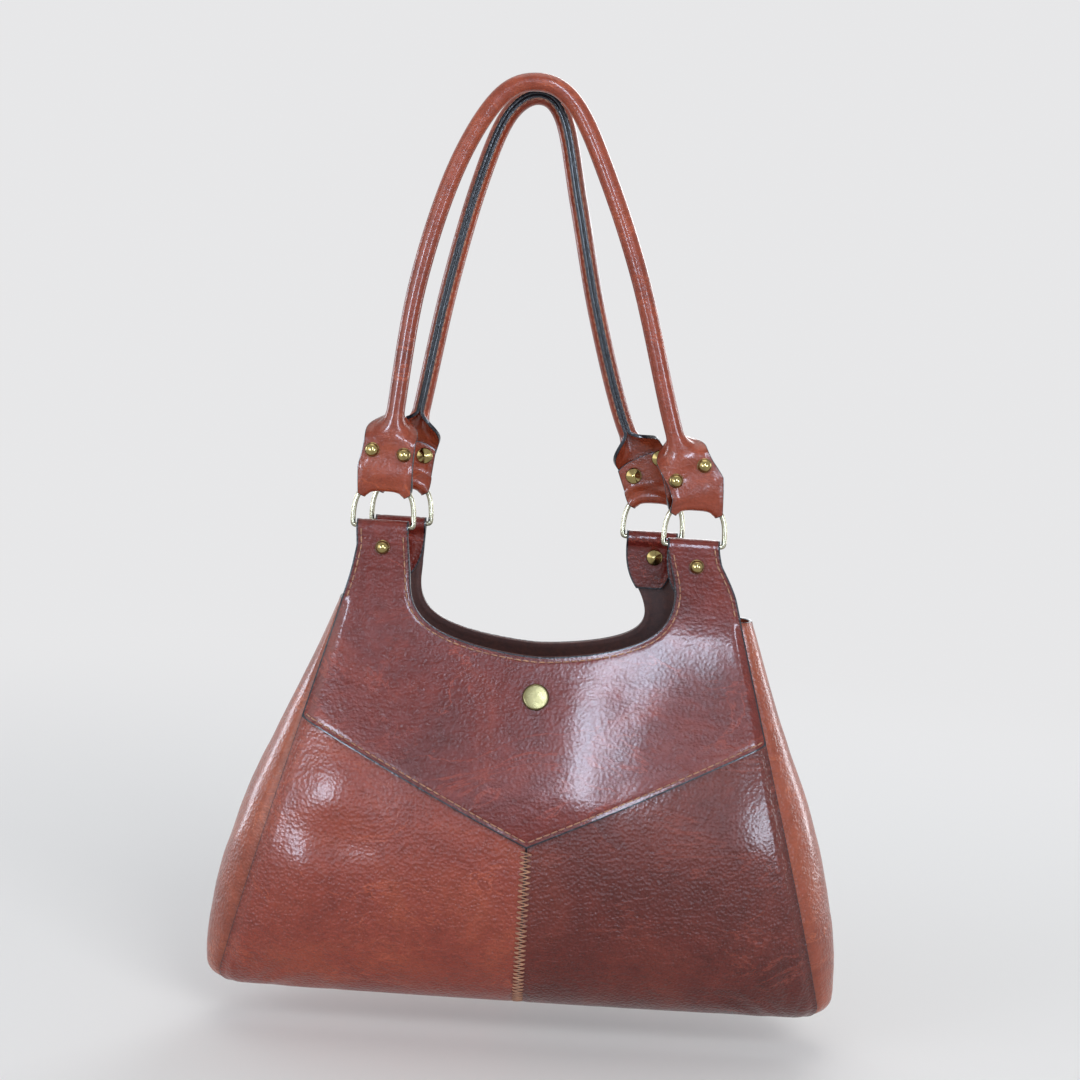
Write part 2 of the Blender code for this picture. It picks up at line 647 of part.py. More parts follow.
def make_handle(face, leather, cord):
    """A strap cut flat, folded round the rings at both ends and rolled round a cord between them."""
    columns = strap_columns()
    course = handle_course(face)
    lengths = lengths_along(course)
    tangents = np.gradient(course, axis=0)
    low = [ROLLED * k / ROLL_ROWS for k in range(ROLL_ROWS)]
    span = lengths[-1] - 2 * ROLLED
    middle = [ROLLED + span * k / COURSE_STEPS for k in range(COURSE_STEPS + 1)]
    stops = low + middle + [lengths[-1] - stop for stop in reversed(low)]
    rows = tab_rows(face, LEFT, columns, point_at(course, lengths, LEAN_REACH))
    cord_points = []
    for stop in stops:
        centre = point_at(course, lengths, stop)
        along = point_at(tangents, lengths, stop)
        along /= np.linalg.norm(along)
        above = TAB_STRAIGHT + min(stop, lengths[-1] - stop)
        roll = min(1.0, max(0.0, (above - ROLL_START) / (ROLL_END - ROLL_START)))
        roll = roll * roll * (3 - 2 * roll)
        flat = min(1.0, above / HANDLE_RIVET_RISE)
        width = TAB_FOLD_WIDTH + (TAB_WIDTH - TAB_FOLD_WIDTH) * flat + (STRAP_WIDTH - TAB_WIDTH) * roll
        rows.append(strap_row(face, centre, along, roll, columns, width / STRAP_WIDTH))
        if above >= CORE_START:
            cord_points.append((centre[0], face * (STRAP_Y - TUBE_MID_RADIUS), centre[1]))
    far_tab = tab_rows(face, RIGHT, columns[::-1], point_at(course, lengths, lengths[-1] - LEAN_REACH))
    rows += far_tab[::-1]
    strap = sheet(FACE_NAMES[face] + "_handle_strap", [rows], leather, LEATHER, 0, face == BACK)
    holes = [(place_at, (0, 1, 0)) for side in (LEFT, RIGHT) for place_at in handle_rivet_places(face, side)]
    drill(strap, holes, RIVET_SHANK_RADIUS + FIT_GAP, DRILL_LENGTH)
    curve = bpy.data.curves.new(FACE_NAMES[face] + "_handle_cord", "CURVE")
    curve.dimensions = "3D"
    curve.bevel_depth = CORE_RADIUS
    curve.bevel_resolution = WIRE_STEPS
    curve.use_fill_caps = True
    spline = curve.splines.new("POLY")
    spline.points.add(len(cord_points) - 1)
    for point, place_at in zip(spline.points, cord_points):
        point.co = (*place_at, 1)
    place(curve.name, curve, cord)
    return strap


def handle_rivet_places(face, side):
    """Where a tab's two rivets cross the outer face of the strap, from left to right."""
    course = handle_course(face)
    if side == RIGHT:
        course = course[::-1]
    lengths = lengths_along(course)
    stop = HANDLE_RIVET_RISE - TAB_STRAIGHT
    centre = point_at(course, lengths, stop)
    along = point_at(np.gradient(course, axis=0), lengths, stop)
    across = np.array([along[1], -along[0]]) / np.linalg.norm(along)
    depth = face * (STRAP_Y + LEATHER / 2)
    found = []
    for half in (-0.5, 0.5):
        x, z = centre + across * half * HANDLE_RIVET_SPACING
        found.append((x, depth, z))
    return sorted(found)


def make_handle_rivets(face, side, material):
    stack = 2 * LEATHER + FIT_GAP
    for number, (x, y, z) in enumerate(handle_rivet_places(face, side), 1):
        name = f"{FACE_NAMES[face]}_{SIDE_NAMES[side]}_handle_rivet_{number}"
        turned(name, rivet_profile(stack), material, (x, y + face * FIT_GAP, z), (0, face, 0), None)


yoke_leather = principled("yoke_leather", (0.215, 0.055, 0.045), 0.38)
facing_leather = principled("facing_leather", (0.060, 0.022, 0.016), 0.60)
left_panel_leather = principled("left_panel_leather", (0.370, 0.095, 0.062), 0.36)
right_panel_leather = principled("right_panel_leather", (0.215, 0.050, 0.035), 0.36)
gusset_leather = principled("gusset_leather", (0.420, 0.120, 0.060), 0.36)
handle_leather = principled("handle_leather", (0.390, 0.092, 0.040), 0.32)
core_cord = principled("core_cord", (0.450, 0.380, 0.280), 0.90)
rivet_brass = principled("rivet_brass", (0.560, 0.390, 0.130), 0.22, 1.0)
ring_metal = principled("ring_metal", (0.620, 0.600, 0.500), 0.28, 1.0)

for face in (FRONT, BACK):
    make_upper(face, yoke_leather, facing_leather)
    make_panel(face, LEFT, left_panel_leather)
    make_panel(face, RIGHT, right_panel_leather)
    make_handle(face, handle_leather, core_cord)
    for side in (LEFT, RIGHT):
        make_ring(face, side, ring_metal)
        make_ear_rivet(face, side, rivet_brass)
        make_handle_rivets(face, side, rivet_brass)
for side in (LEFT, RIGHT):
    make_gusset(side, gusset_leather)
make_snaps(rivet_brass)
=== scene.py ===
"""The looks of a leather hobo bag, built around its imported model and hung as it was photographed."""

import math

import bmesh
import bpy
import numpy as np
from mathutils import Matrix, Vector, kdtree, noise


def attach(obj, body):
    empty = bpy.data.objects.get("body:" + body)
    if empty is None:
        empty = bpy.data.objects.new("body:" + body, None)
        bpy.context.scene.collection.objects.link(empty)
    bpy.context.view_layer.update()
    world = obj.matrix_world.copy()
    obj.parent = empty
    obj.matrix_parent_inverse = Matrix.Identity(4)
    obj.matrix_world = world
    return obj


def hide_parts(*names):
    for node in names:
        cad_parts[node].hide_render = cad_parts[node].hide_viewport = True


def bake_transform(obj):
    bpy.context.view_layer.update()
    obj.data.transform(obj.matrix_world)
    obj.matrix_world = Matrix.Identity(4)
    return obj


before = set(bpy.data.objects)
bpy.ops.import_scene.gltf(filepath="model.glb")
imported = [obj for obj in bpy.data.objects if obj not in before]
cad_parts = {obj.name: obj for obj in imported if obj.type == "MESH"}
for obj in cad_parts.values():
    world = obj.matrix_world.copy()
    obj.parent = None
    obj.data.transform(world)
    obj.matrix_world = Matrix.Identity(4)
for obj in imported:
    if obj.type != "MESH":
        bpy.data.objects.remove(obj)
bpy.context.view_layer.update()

# Sizes of the bag in metres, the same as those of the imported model
EAR_TOP_DROP = 0.204
BAG_OFFSET_X = 0.0163
BODY_HEIGHT = 0.241
SIDE_SLOPE = 0.272
CORNER_RADIUS = 0.012
LEATHER = 0.0016
FACING_LEATHER = 0.0010
FIT_GAP = 0.0003
EAR_CENTRE_X = 0.0775
EAR_WIDTH = 0.0252
EAR_HALF_DEPTH = 0.0130
EAR_STRAIGHT = 0.012
EAR_LOOP_RADIUS = 0.0024
EAR_FLAP_LENGTH = 0.029
EAR_FLAP_SETTLE = 0.005
EAR_FLAP_TAPER = 0.5
EAR_RIVET_DROP = 0.0130
EAR_PULL_LEFT = {-1: -0.0021, 1: 0.005}
EAR_PULL_RIGHT = {-1: 0.0058, 1: 0.025}
EAR_PULL_LENGTH = {-1: 0.030, 1: 0.075}
MOUTH_DROP = 0.061
MOUTH_CURVE_ACROSS = 1.5
MOUTH_CURVE_DOWN = 5.8
YOKE_SIDE_DROP = 0.097
YOKE_POINT_DROP = 0.149
YOKE_LAP = 0.010
FACING_TOP_DROP = 0.0095
FACING_SHARE = 0.5
EAR_FOOT_SHARE = 0.70
SWELL_START_DROP = 0.020
BELLY_DROP = 0.165
BELLY_HALF_DEPTH = 0.046
SEAM_HALF_DEPTH = 0.034
CROSS_FULLNESS = 2.4
BOTTOM_SEAM_HALF_GAP = 0.0003
CORNER_HALF_DEPTH = 0.0025
GUSSET_TOP_DROP = 0.040
GUSSET_FOOT_RISE = 0.0024
GUSSET_BULGE = 0.018
WIRE_RADIUS = 0.00125
RING_WIDTH = 0.0320
RING_HEIGHT = 0.0230
RING_ROUNDNESS = 3.2
BAR_TOP_CLEARANCE = 0.0004
STRAP_WIDTH = 0.031
TAB_FOLD_WIDTH = 0.0282
TAB_WIDTH = 0.0250
TAB_LOOP_RADIUS = 0.00235
TAB_WIRE_CLEARANCE = 0.0006
TAB_BACK_LENGTH = 0.0206
TAB_STRAIGHT = 0.007
TAB_CLOSE = 0.0072
TAB_END_TAPER = 0.85
TAB_END_ROUND = 0.1
ROLL_START = 0.0206
ROLL_END = 0.0365
ROLL_MARGIN = 0.004
LEAN_REACH = 0.030
TUBE_MID_RADIUS = 0.0036
TUBE_WRAP_ANGLE = math.radians(150)
FLANGE_GAP = 0.0003
HANDLE_RIVET_RISE = 0.0156
HANDLE_RIVET_SPACING = 0.0155
FRONT_COURSE = ((-0.0605, -0.156), (-0.053, -0.092), (-0.038, -0.036), (-0.019, -0.0002), (0.0, 0.0087),
                (0.0175, -0.0005), (0.0345, -0.032), (0.0543, -0.082), (0.0752, -0.153))
BACK_COURSE = ((-0.050, -0.156), (-0.0387, -0.091), (-0.0265, -0.039), (-0.0145, -0.006), (0.0, 0.0045),
               (0.0125, -0.006), (0.0225, -0.047), (0.0350, -0.100), (0.052, -0.153))
RIVET_HEAD_RADIUS = 0.0035
RIVET_HEAD_HEIGHT = 0.0034
RIVET_SHANK_RADIUS = 0.0013
RIVET_BACK_RADIUS = 0.0040
RIVET_BACK_HEIGHT = 0.0012
SNAP_DROP = 0.080
SNAP_CAP_RADIUS = 0.0065
SNAP_CAP_HEIGHT = 0.0026
SNAP_SHANK_RADIUS = 0.0018
SNAP_SOCKET_RADIUS = 0.0058
SNAP_SOCKET_HEIGHT = 0.0034
SNAP_BORE_RADIUS = 0.0024
SNAP_STUD_RADIUS = 0.0020
SNAP_STUD_HEIGHT = 0.0038

# Stitching
STITCH_PITCH = 0.0039
STITCH_LENGTH = 0.0031
STITCH_RADIUS = 0.00036
STITCH_INSET = 0.0024
ZIGZAG_WIDTH = 0.0054
ZIGZAG_PITCH = 0.0028
STITCH_STATIONS = np.array([0.0, 0.14, 0.5, 0.86, 1.0])
STITCH_RISE = np.array([-0.00035, 0.00015, 0.00028, 0.00015, -0.00035])
STITCH_FULLNESS = np.array([0.7, 1.0, 1.05, 1.0, 0.7])
STITCH_SIDES = 6
FOOT_STITCH_INSET = 1.12 * STITCH_INSET
FOOT_STITCH_RUN = (0.004, 0.985)
ZIGZAG_TOP_GAP = 0.002
ZIGZAG_FOOT_GAP = 0.004
ZIGZAG_LIFT = 0.0001

# Stitch grooves, rounded edges and the swelling of the tabs
GROOVE_DEPTH = 0.00022
GROOVE_WIDTH = 0.0008
EDGE_ROUNDING = 0.0004
TAB_PUFF = 0.0014
TAB_PUFF_RISE = 0.0050
TAB_PUFF_REACH = 0.0050
TAB_DIP = 0.0003

# Softness of the walls; each noise has a height, a wavelength and a seed
NOISE_SHIFT = 0.3
BROAD_SLACK = (0.0007, 0.055, 3.1)
FINE_SLACK = (0.00025, 0.024, 7.7)
SLACK_RISE = 0.060
SLACK_FOOT = 0.030
SLACK_SIDE = 0.12
PULL_DEPTH = 0.0005
PULL_COUNT = 13
PULL_TURN = 1.3
PULL_WANDER = (6, 0.03, 4.4)
PULL_START = 0.006
PULL_RISE = 0.015
PULL_END = 0.075
PULL_FADE = 0.060
PULL_SIDE = 0.06
CROWN = 0.0032
CROWN_START = 0.045
CROWN_RISE = 0.05
CROWN_END = 0.185
CROWN_FADE = 0.07
SEAM_ROLL = 0.0021
SEAM_ROLL_SHARE = 0.045
SEAM_ROLL_FADE = 0.012
GUSSET_TOP_SHOWN = {-1: 0.0012, 1: 0.006}
GUSSET_INSET_SHARE = 0.3
GUSSET_TURN_IN = 0.0022
GUSSET_TURN_SHARE = 0.14
GUSSET_ROUNDNESS = 0.85
GUSSET_SLACK_START = 0.05
GUSSET_BROAD_SLACK = (0.0010, 0.035, 2.2)
GUSSET_FINE_SLACK = (0.0004, 0.012, 8.4)
GUSSET_CREASE_DEPTH = 0.0009
GUSSET_CREASE_WIDTH = 0.004

# Dents fade out within this distance of the middle, where a wall's two sides meet
DENT_CLEAR = 0.015

# Dents fade out within this share of the half width at the side seam
DENT_SIDE = 0.05

# Dents and bulges: wall, side, distance from the middle, drop, half width, half height, depth
DENTS = ((-1, -1, 0.097, 0.131, 0.017, 0.017, 0.0016), (-1, -1, 0.108, 0.171, 0.014, 0.016, 0.0018),
         (-1, -1, 0.086, 0.153, 0.020, 0.011, -0.0016), (-1, -1, 0.050, 0.205, 0.030, 0.018, -0.0009),
         (-1, 1, 0.106, 0.136, 0.022, 0.030, 0.0014), (-1, 1, 0.060, 0.190, 0.030, 0.025, -0.0008),
         (1, -1, 0.070, 0.160, 0.030, 0.025, -0.0012), (1, 1, 0.090, 0.150, 0.025, 0.020, 0.0014))

# Fineness of the meshes
MOUTH_COLUMNS = 56
EAR_COLUMNS = 18
YOKE_ROWS = 64
FACING_ROWS = 32
FOLD_STEPS = 14
FLAP_ROWS = 16
PANEL_COLUMNS = 72
PANEL_UPPER_ROWS = 26
PANEL_LOWER_ROWS = 50
GUSSET_COLUMNS = 40
GUSSET_ROWS = 90
RING_STEPS = 64
WIRE_SIDES = 16
COURSE_STEPS = 150
ROLL_ROWS = 26
TAB_ROWS = 14
TAB_FRONT_ROWS = 7
WRAP_STEPS = 12
TURN_STEPS = 40
ARCH_STEPS = 600
CURVE_STEPS = 40
PATH_STEPS = 600
SECTION_STEPS = 400
RETURN_STEPS = 4
DOME_STEPS = 12
FLANGE_STEPS = 5
RING_ARCH_STEPS = 200
RING_BAR_STEPS = 119
RING_SMOOTHINGS = 24
LINE_STEPS = 240
EAR_LINE_STEPS = 120
FLANGE_LINE_STEPS = 500
ZIGZAG_STEPS = 8
ROW_EVENNESS = 0.5
PANEL_EVENNESS = 0.6

# Derived places
EAR_OUTER_X = EAR_CENTRE_X + EAR_WIDTH / 2
EAR_INNER_X = EAR_CENTRE_X - EAR_WIDTH / 2
YOKE_OFFSET = LEATHER + FIT_GAP
EAR_FOLD_RADIUS = EAR_LOOP_RADIUS + LEATHER
RING_Y = EAR_HALF_DEPTH + YOKE_OFFSET - EAR_FOLD_RADIUS
BAR_DROP = LEATHER + BAR_TOP_CLEARANCE + WIRE_RADIUS
RING_HALF_WIDTH = RING_WIDTH / 2 - WIRE_RADIUS
RING_RISE = RING_HEIGHT - 2 * WIRE_RADIUS
TAB_FOLD_RADIUS = TAB_LOOP_RADIUS + LEATHER / 2
TAB_LOOP_LIFT = TAB_LOOP_RADIUS - WIRE_RADIUS - TAB_WIRE_CLEARANCE
STRAP_Y = RING_Y + TAB_FOLD_RADIUS
ROLLED = ROLL_END + ROLL_MARGIN - TAB_STRAIGHT
FLANGE_HALF_GAP = (LEATHER + FLANGE_GAP) / 2
SIN_WRAP = math.sin(TUBE_WRAP_ANGLE)
TUBE_RETURN_RADIUS = (TUBE_MID_RADIUS * SIN_WRAP - FLANGE_HALF_GAP) / (1 - SIN_WRAP)
TUBE_WRAP = TUBE_MID_RADIUS * TUBE_WRAP_ANGLE
TUBE_RETURN = TUBE_WRAP + TUBE_RETURN_RADIUS * (TUBE_WRAP_ANGLE - math.pi / 2)

FRONT, BACK = -1, 1
LEFT, RIGHT = -1, 1
FACE_NAMES = {FRONT: "front", BACK: "back"}
SIDE_NAMES = {LEFT: "left", RIGHT: "right"}


# Shape of the bag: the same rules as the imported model, with finer steps

def steps(count):
    return np.linspace(0, 1, count + 1)


def stacked(*parts):
    return np.stack(np.broadcast_arrays(*parts), axis=-1)


def unit(vectors):
    return vectors / np.linalg.norm(vectors, axis=-1, keepdims=True)


def path_lengths(points):
    return np.concatenate([[0.0], np.cumsum(np.linalg.norm(np.diff(points, axis=0), axis=1))])


def along_path(points, lengths, stops):
    return np.stack([np.interp(stops, lengths, points[:, i]) for i in range(points.shape[1])], axis=-1)


def evened(points, count):
    """Evenly spaced points along a path."""
    lengths = path_lengths(points)
    return along_path(points, lengths, lengths[-1] * steps(count))


def half_width(drop):
    """Distance from the centre line to a side seam."""
    width = EAR_OUTER_X + SIDE_SLOPE * np.maximum(0.0, drop - EAR_STRAIGHT)
    into = np.maximum(0.0, CORNER_RADIUS - (BODY_HEIGHT - drop))
    return width - (CORNER_RADIUS - np.sqrt(np.maximum(0.0, CORNER_RADIUS**2 - into**2)))


def swell(drop, start, peak, least):
    """Half-depth that grows to its peak at the belly and closes round to the bottom."""
    rise = np.clip((drop - SWELL_START_DROP) / (BELLY_DROP - SWELL_START_DROP), 0, 1)
    upper = start + (peak - start) * np.sin(math.pi / 2 * rise) ** 2
    fall = np.clip((drop - BELLY_DROP) / (BODY_HEIGHT - BELLY_DROP), 0, 1)
    lower = np.maximum(least, peak * np.sqrt(1 - fall**2))
    return np.where(drop <= BELLY_DROP, upper, lower)


def seam_depth(drop):
    return swell(drop, EAR_HALF_DEPTH, SEAM_HALF_DEPTH, CORNER_HALF_DEPTH)


def wall_depth(x, drop):
    """Half-depth of the front or back wall at a place."""
    edge = seam_depth(drop)
    centre = swell(drop, EAR_HALF_DEPTH, BELLY_HALF_DEPTH, BOTTOM_SEAM_HALF_GAP)
    across = np.minimum(1.0, np.abs(x) / half_width(drop))
    return edge + (centre - edge) * (1 - across**CROSS_FULLNESS)


def ear_pull(face, side, drop, x=EAR_INNER_X):
    """How far an ear is drawn sideways by its handle, where a positive pull is towards the middle."""
    pull = EAR_PULL_LEFT[face] if side == LEFT else EAR_PULL_RIGHT[face]
    share = np.maximum(0.0, 1 - drop / EAR_PULL_LENGTH[face])
    across = np.minimum(1.0, x / EAR_INNER_X) ** 2
    return -side * pull * across * share * share * (3 - 2 * share)


def wall_points(face, side, x, drop, offset):
    """Points of a wall, offset outwards from the lower panels' outer face; x counts out from the middle."""
    depth = wall_depth(x, drop) + offset
    across = BAG_OFFSET_X + side * x + ear_pull(face, side, drop, x)
    return stacked(across, face * depth, -EAR_TOP_DROP - drop)


def wall_normal(face, x, drop):
    step = 0.002
    down = (wall_depth(x, drop + step) - wall_depth(x, drop)) / step
    return Vector((0, face, float(down))).normalized()


def left_to_right(side, grid):
    """Columns counted out from the middle, put in order from left to right."""
    return grid if side == RIGHT else grid[:, ::-1]


def ease(share):
    share = np.clip(share, 0, 1)
    return share * share * (3 - 2 * share)


def field(points, height, wavelength, seed):
    """Smooth noise of about the given height, up and down, at each point."""
    flat = np.asarray(points).reshape(-1, 3) / wavelength + seed
    values = [noise.noise(Vector(point)) for point in flat]
    return height * np.array(values).reshape(np.asarray(points).shape[:-1])


def relief(face, side, x, drop):
    """Slack, dents and pulls of the soft walls, outwards in metres."""
    across = x / half_width(drop)
    place_at = stacked(side * x, NOISE_SHIFT * face, drop)
    slack = ease((drop - SWELL_START_DROP) / SLACK_RISE) * ease((BODY_HEIGHT - drop) / SLACK_FOOT)
    slack = slack * ease((1 - across) / SLACK_SIDE)
    broad = field(place_at, *BROAD_SLACK) + field(place_at, *FINE_SLACK)
    corner = stacked(half_width(BODY_HEIGHT) - x, BODY_HEIGHT - drop)
    reach = np.linalg.norm(corner, axis=-1)
    turn = np.arctan2(corner[..., 1], corner[..., 0] + 1e-6)
    fan = ease((reach - PULL_START) / PULL_RISE) * ease((PULL_END - reach) / PULL_FADE)
    pulls = PULL_DEPTH * np.sin(turn * PULL_COUNT + side * PULL_TURN + field(place_at, *PULL_WANDER)) * fan
    found = slack * broad + pulls * ease((1 - across) / PULL_SIDE)
    for dent_face, dent_side, dent_x, dent_drop, width, height, depth in DENTS:
        if dent_face == face and dent_side == side:
            away = ((x - dent_x) / width) ** 2 + ((drop - dent_drop) / height) ** 2
            found = found + depth * np.exp(-away) * ease((1 - across) / DENT_SIDE) * ease(x / DENT_CLEAR)
    crown = ease((drop - CROWN_START) / CROWN_RISE) * ease((CROWN_END - drop) / CROWN_FADE)
    return found + CROWN * crown * (1 - np.minimum(1.0, across) ** 2)


def seam_roll(x, drop):
    """How far a wall's edge turns in at the side seam."""
    across = (x / half_width(drop) - 1) / SEAM_ROLL_SHARE + 1
    below = (drop - GUSSET_TOP_DROP) / SEAM_ROLL_FADE + 0.5
    return SEAM_ROLL * ease(across) * ease(below)


def soft_wall(face, side, x, drop, offset):
    """Points of a wall with its slack and its turned-in seams."""
    return wall_points(face, side, x, drop, offset + relief(face, side, x, drop) - seam_roll(x, drop))


def yoke_foot(share):
    """Drop of the yoke's pointed edge at a share of the way from the middle to the side."""
    return YOKE_POINT_DROP + (YOKE_SIDE_DROP - YOKE_POINT_DROP) * share


def mouth_edge(count):
    """Evenly spaced (x, drop) points of the mouth's edge from the middle up to an ear's inner corner."""
    turn = math.pi / 2 * steps(ARCH_STEPS)
    x = EAR_INNER_X * np.sin(turn) ** (2 / MOUTH_CURVE_ACROSS)
    rise = 1 - np.maximum(0.0, np.cos(turn)) ** (2 / MOUTH_CURVE_DOWN)
    fine = stacked(x, MOUTH_DROP - (MOUTH_DROP - EAR_FOLD_RADIUS) * rise)
    return evened(fine, count)


def upper_grid(face, side, start, reach, rows, offset):
    """The wall from the mouth down by a share of the yoke, on one side; the ears begin at the given drop."""
    ear = steps(EAR_COLUMNS)[1:]
    edge = mouth_edge(MOUTH_COLUMNS)
    top_x = np.concatenate([edge[:, 0], EAR_INNER_X + EAR_WIDTH * ear])
    top_drop = np.concatenate([edge[:, 1], EAR_FOLD_RADIUS + 0 * ear])
    across = np.concatenate([np.zeros(MOUTH_COLUMNS + 1), ear])
    mouth = np.minimum(1.0, np.arange(len(across)) / MOUTH_COLUMNS)
    foot = EAR_FOOT_SHARE * mouth + (1 - EAR_FOOT_SHARE) * across
    foot_drop = yoke_foot(foot)
    foot_x = half_width(YOKE_SIDE_DROP)
    share = steps(rows)[:, None]
    share = reach * (ROW_EVENNESS * share + (1 - ROW_EVENNESS) * (1 - np.cos(math.pi * share)) / 2)
    drop = top_drop + (foot_drop - top_drop) * share
    down = (drop - EAR_FOLD_RADIUS) / (YOKE_SIDE_DROP - EAR_FOLD_RADIUS)
    seam = half_width(drop) - EAR_OUTER_X - (foot_x - EAR_OUTER_X) * down
    x = top_x + (foot * foot_x - top_x) * share + across * seam
    return left_to_right(side, soft_wall(face, side, x, np.maximum(start, drop), offset))


def ear_grid(face, side):
    """The ear's fold over the ring's bar and the flap that comes down inside."""
    outer = EAR_HALF_DEPTH + YOKE_OFFSET
    flap_end = EAR_HALF_DEPTH - FACING_LEATHER - FIT_GAP - LEATHER
    flap_start = outer - 2 * EAR_FOLD_RADIUS
    turn = math.pi * steps(FOLD_STEPS)
    fold_depth = outer - EAR_FOLD_RADIUS * (1 - np.cos(turn))
    fold_drop = EAR_FOLD_RADIUS * (1 - np.sin(turn))
    share = steps(FLAP_ROWS)[1:]
    flap_drop = EAR_FOLD_RADIUS + (EAR_FLAP_LENGTH - EAR_FOLD_RADIUS) * share
    flap_depth = flap_start + (flap_end - flap_start) * ease((flap_drop - EAR_FOLD_RADIUS) / EAR_FLAP_SETTLE)
    depth = np.concatenate([fold_depth, flap_depth])[:, None]
    drop = np.concatenate([fold_drop, flap_drop])[:, None]
    width = np.concatenate([0 * turn + 1, 1 - EAR_FLAP_TAPER * share**3])[:, None]
    across = np.linspace(-0.5, 0.5, EAR_COLUMNS + 1)
    x = side * (EAR_CENTRE_X + EAR_WIDTH * width * across) + ear_pull(face, side, EAR_FOLD_RADIUS)
    grid = stacked(BAG_OFFSET_X + x, face * depth, -EAR_TOP_DROP - drop)
    return left_to_right(side, grid)[::-1]


def panel_grid(face, side):
    """One lower panel, from under the yoke to the bottom seam."""
    share = steps(PANEL_COLUMNS)
    share = PANEL_EVENNESS * share + (1 - PANEL_EVENNESS) * np.sin(math.pi / 2 * share)
    top = yoke_foot(share) - YOKE_LAP
    upper = steps(PANEL_UPPER_ROWS)[:, None]
    turn = math.pi / 2 * steps(PANEL_LOWER_ROWS)[1:, None]
    drop = np.concatenate([top + (BELLY_DROP - top) * upper,
                           BELLY_DROP + (BODY_HEIGHT - BELLY_DROP) * np.sin(turn) + 0 * top])
    x = np.maximum(FIT_GAP, share * half_width(drop))
    return left_to_right(side, soft_wall(face, side, x, drop, 0.0))


def gusset_grid(side):
    """A lens-shaped side piece that bulges out between the side seams, with its edges turned in."""
    foot = BODY_HEIGHT - GUSSET_FOOT_RISE
    last_turn = math.asin((foot - BELLY_DROP) / (BODY_HEIGHT - BELLY_DROP))
    upper = steps(GUSSET_ROWS // 2)
    turn = last_turn * steps(GUSSET_ROWS // 2)[1:]
    drop = np.concatenate([GUSSET_TOP_DROP + (BELLY_DROP - GUSSET_TOP_DROP) * upper,
                           BELLY_DROP + (BODY_HEIGHT - BELLY_DROP) * np.sin(turn)])[:, None]
    across = -np.cos(math.pi * steps(GUSSET_COLUMNS))
    inset = np.minimum(SEAM_ROLL, GUSSET_INSET_SHARE * seam_depth(drop))
    reach = seam_depth(drop) - LEATHER - FIT_GAP - inset
    bulge = swell(drop, GUSSET_TOP_SHOWN[side], GUSSET_BULGE, 0.0)
    turned_in = GUSSET_TURN_IN * ease((np.abs(across) - 1) / GUSSET_TURN_SHARE + 1)
    x = half_width(drop) + bulge * (1 - across**2) ** GUSSET_ROUNDNESS - turned_in
    y = reach * across
    place_at = stacked(side * NOISE_SHIFT, y, drop)
    loose = ease(drop / GUSSET_SLACK_START - 1) * ease((BODY_HEIGHT - drop) / SLACK_FOOT) * (1 - across**4)
    x = x + loose * (field(place_at, *GUSSET_BROAD_SLACK) + field(place_at, *GUSSET_FINE_SLACK))
    x = x - GUSSET_CREASE_DEPTH * loose * np.exp(-(y / GUSSET_CREASE_WIDTH) ** 2)
    return stacked(BAG_OFFSET_X + side * x, y, -EAR_TOP_DROP - drop)


def ring_centre(face, side):
    x = side * EAR_CENTRE_X + float(ear_pull(face, side, EAR_FOLD_RADIUS))
    return Vector((BAG_OFFSET_X + x, face * RING_Y, -EAR_TOP_DROP - BAR_DROP))


def arch_points(count):
    """Points of a ring's arch from its left foot over the top to its right foot, above the bar."""
    turn = math.pi * steps(count)[::-1]
    across = np.cos(turn)
    x = RING_HALF_WIDTH * np.sign(across) * np.abs(across) ** (2 / RING_ROUNDNESS)
    return stacked(x, RING_RISE * np.abs(np.sin(turn)) ** (2 / RING_ROUNDNESS))


def arch_places(distances):
    """Points of the arch at distances along it from its top, and the directions out of the ring there."""
    points = arch_points(ARCH_STEPS)
    lengths = path_lengths(points)
    at = lengths[-1] / 2 + np.asarray(distances)
    step = lengths[-1] / ARCH_STEPS
    behind = along_path(points, lengths, at - step)
    ahead = along_path(points, lengths, at + step)
    along = unit(ahead - behind)
    return (behind + ahead) / 2, stacked(-along[:, 1], along[:, 0])


def smooth_course(points):
    """Evenly stepped points of a smooth curve through the given ones."""
    fixed = [np.array(point) for point in points]
    fixed = [2 * fixed[0] - fixed[1]] + fixed + [2 * fixed[-1] - fixed[-2]]
    fine = []
    for a, b, c, d in zip(fixed, fixed[1:], fixed[2:], fixed[3:]):
        for t in np.linspace(0, 1, CURVE_STEPS, endpoint=False):
            fine.append(0.5 * (2 * b + (c - a) * t + (2 * a - 5 * b + 4 * c - d) * t**2
                               + (3 * b - a - 3 * c + d) * t**3))
    return evened(np.array(fine + [fixed[-2]]), PATH_STEPS)


def handle_course(face):
    """Middle line of a handle from the left tab to the right one, in the plane of its arch."""
    course = FRONT_COURSE if face == FRONT else BACK_COURSE
    ends = []
    for side in (LEFT, RIGHT):
        ring = ring_centre(face, side)
        ends.append(np.array([ring.x, ring.z + RING_RISE + TAB_LOOP_LIFT + TAB_STRAIGHT]))
    return smooth_course([ends[0], *course, ends[1]])


def strap_columns():
    """Distances across the strap from one edge to the other."""
    half = np.concatenate([np.linspace(0, TUBE_WRAP, WRAP_STEPS + 1),
                           np.linspace(TUBE_WRAP, TUBE_RETURN, RETURN_STEPS + 1)[1:],
                           np.linspace(TUBE_RETURN, STRAP_WIDTH / 2, FLANGE_STEPS + 1)[1:]])
    return np.concatenate([-half[:0:-1], half])


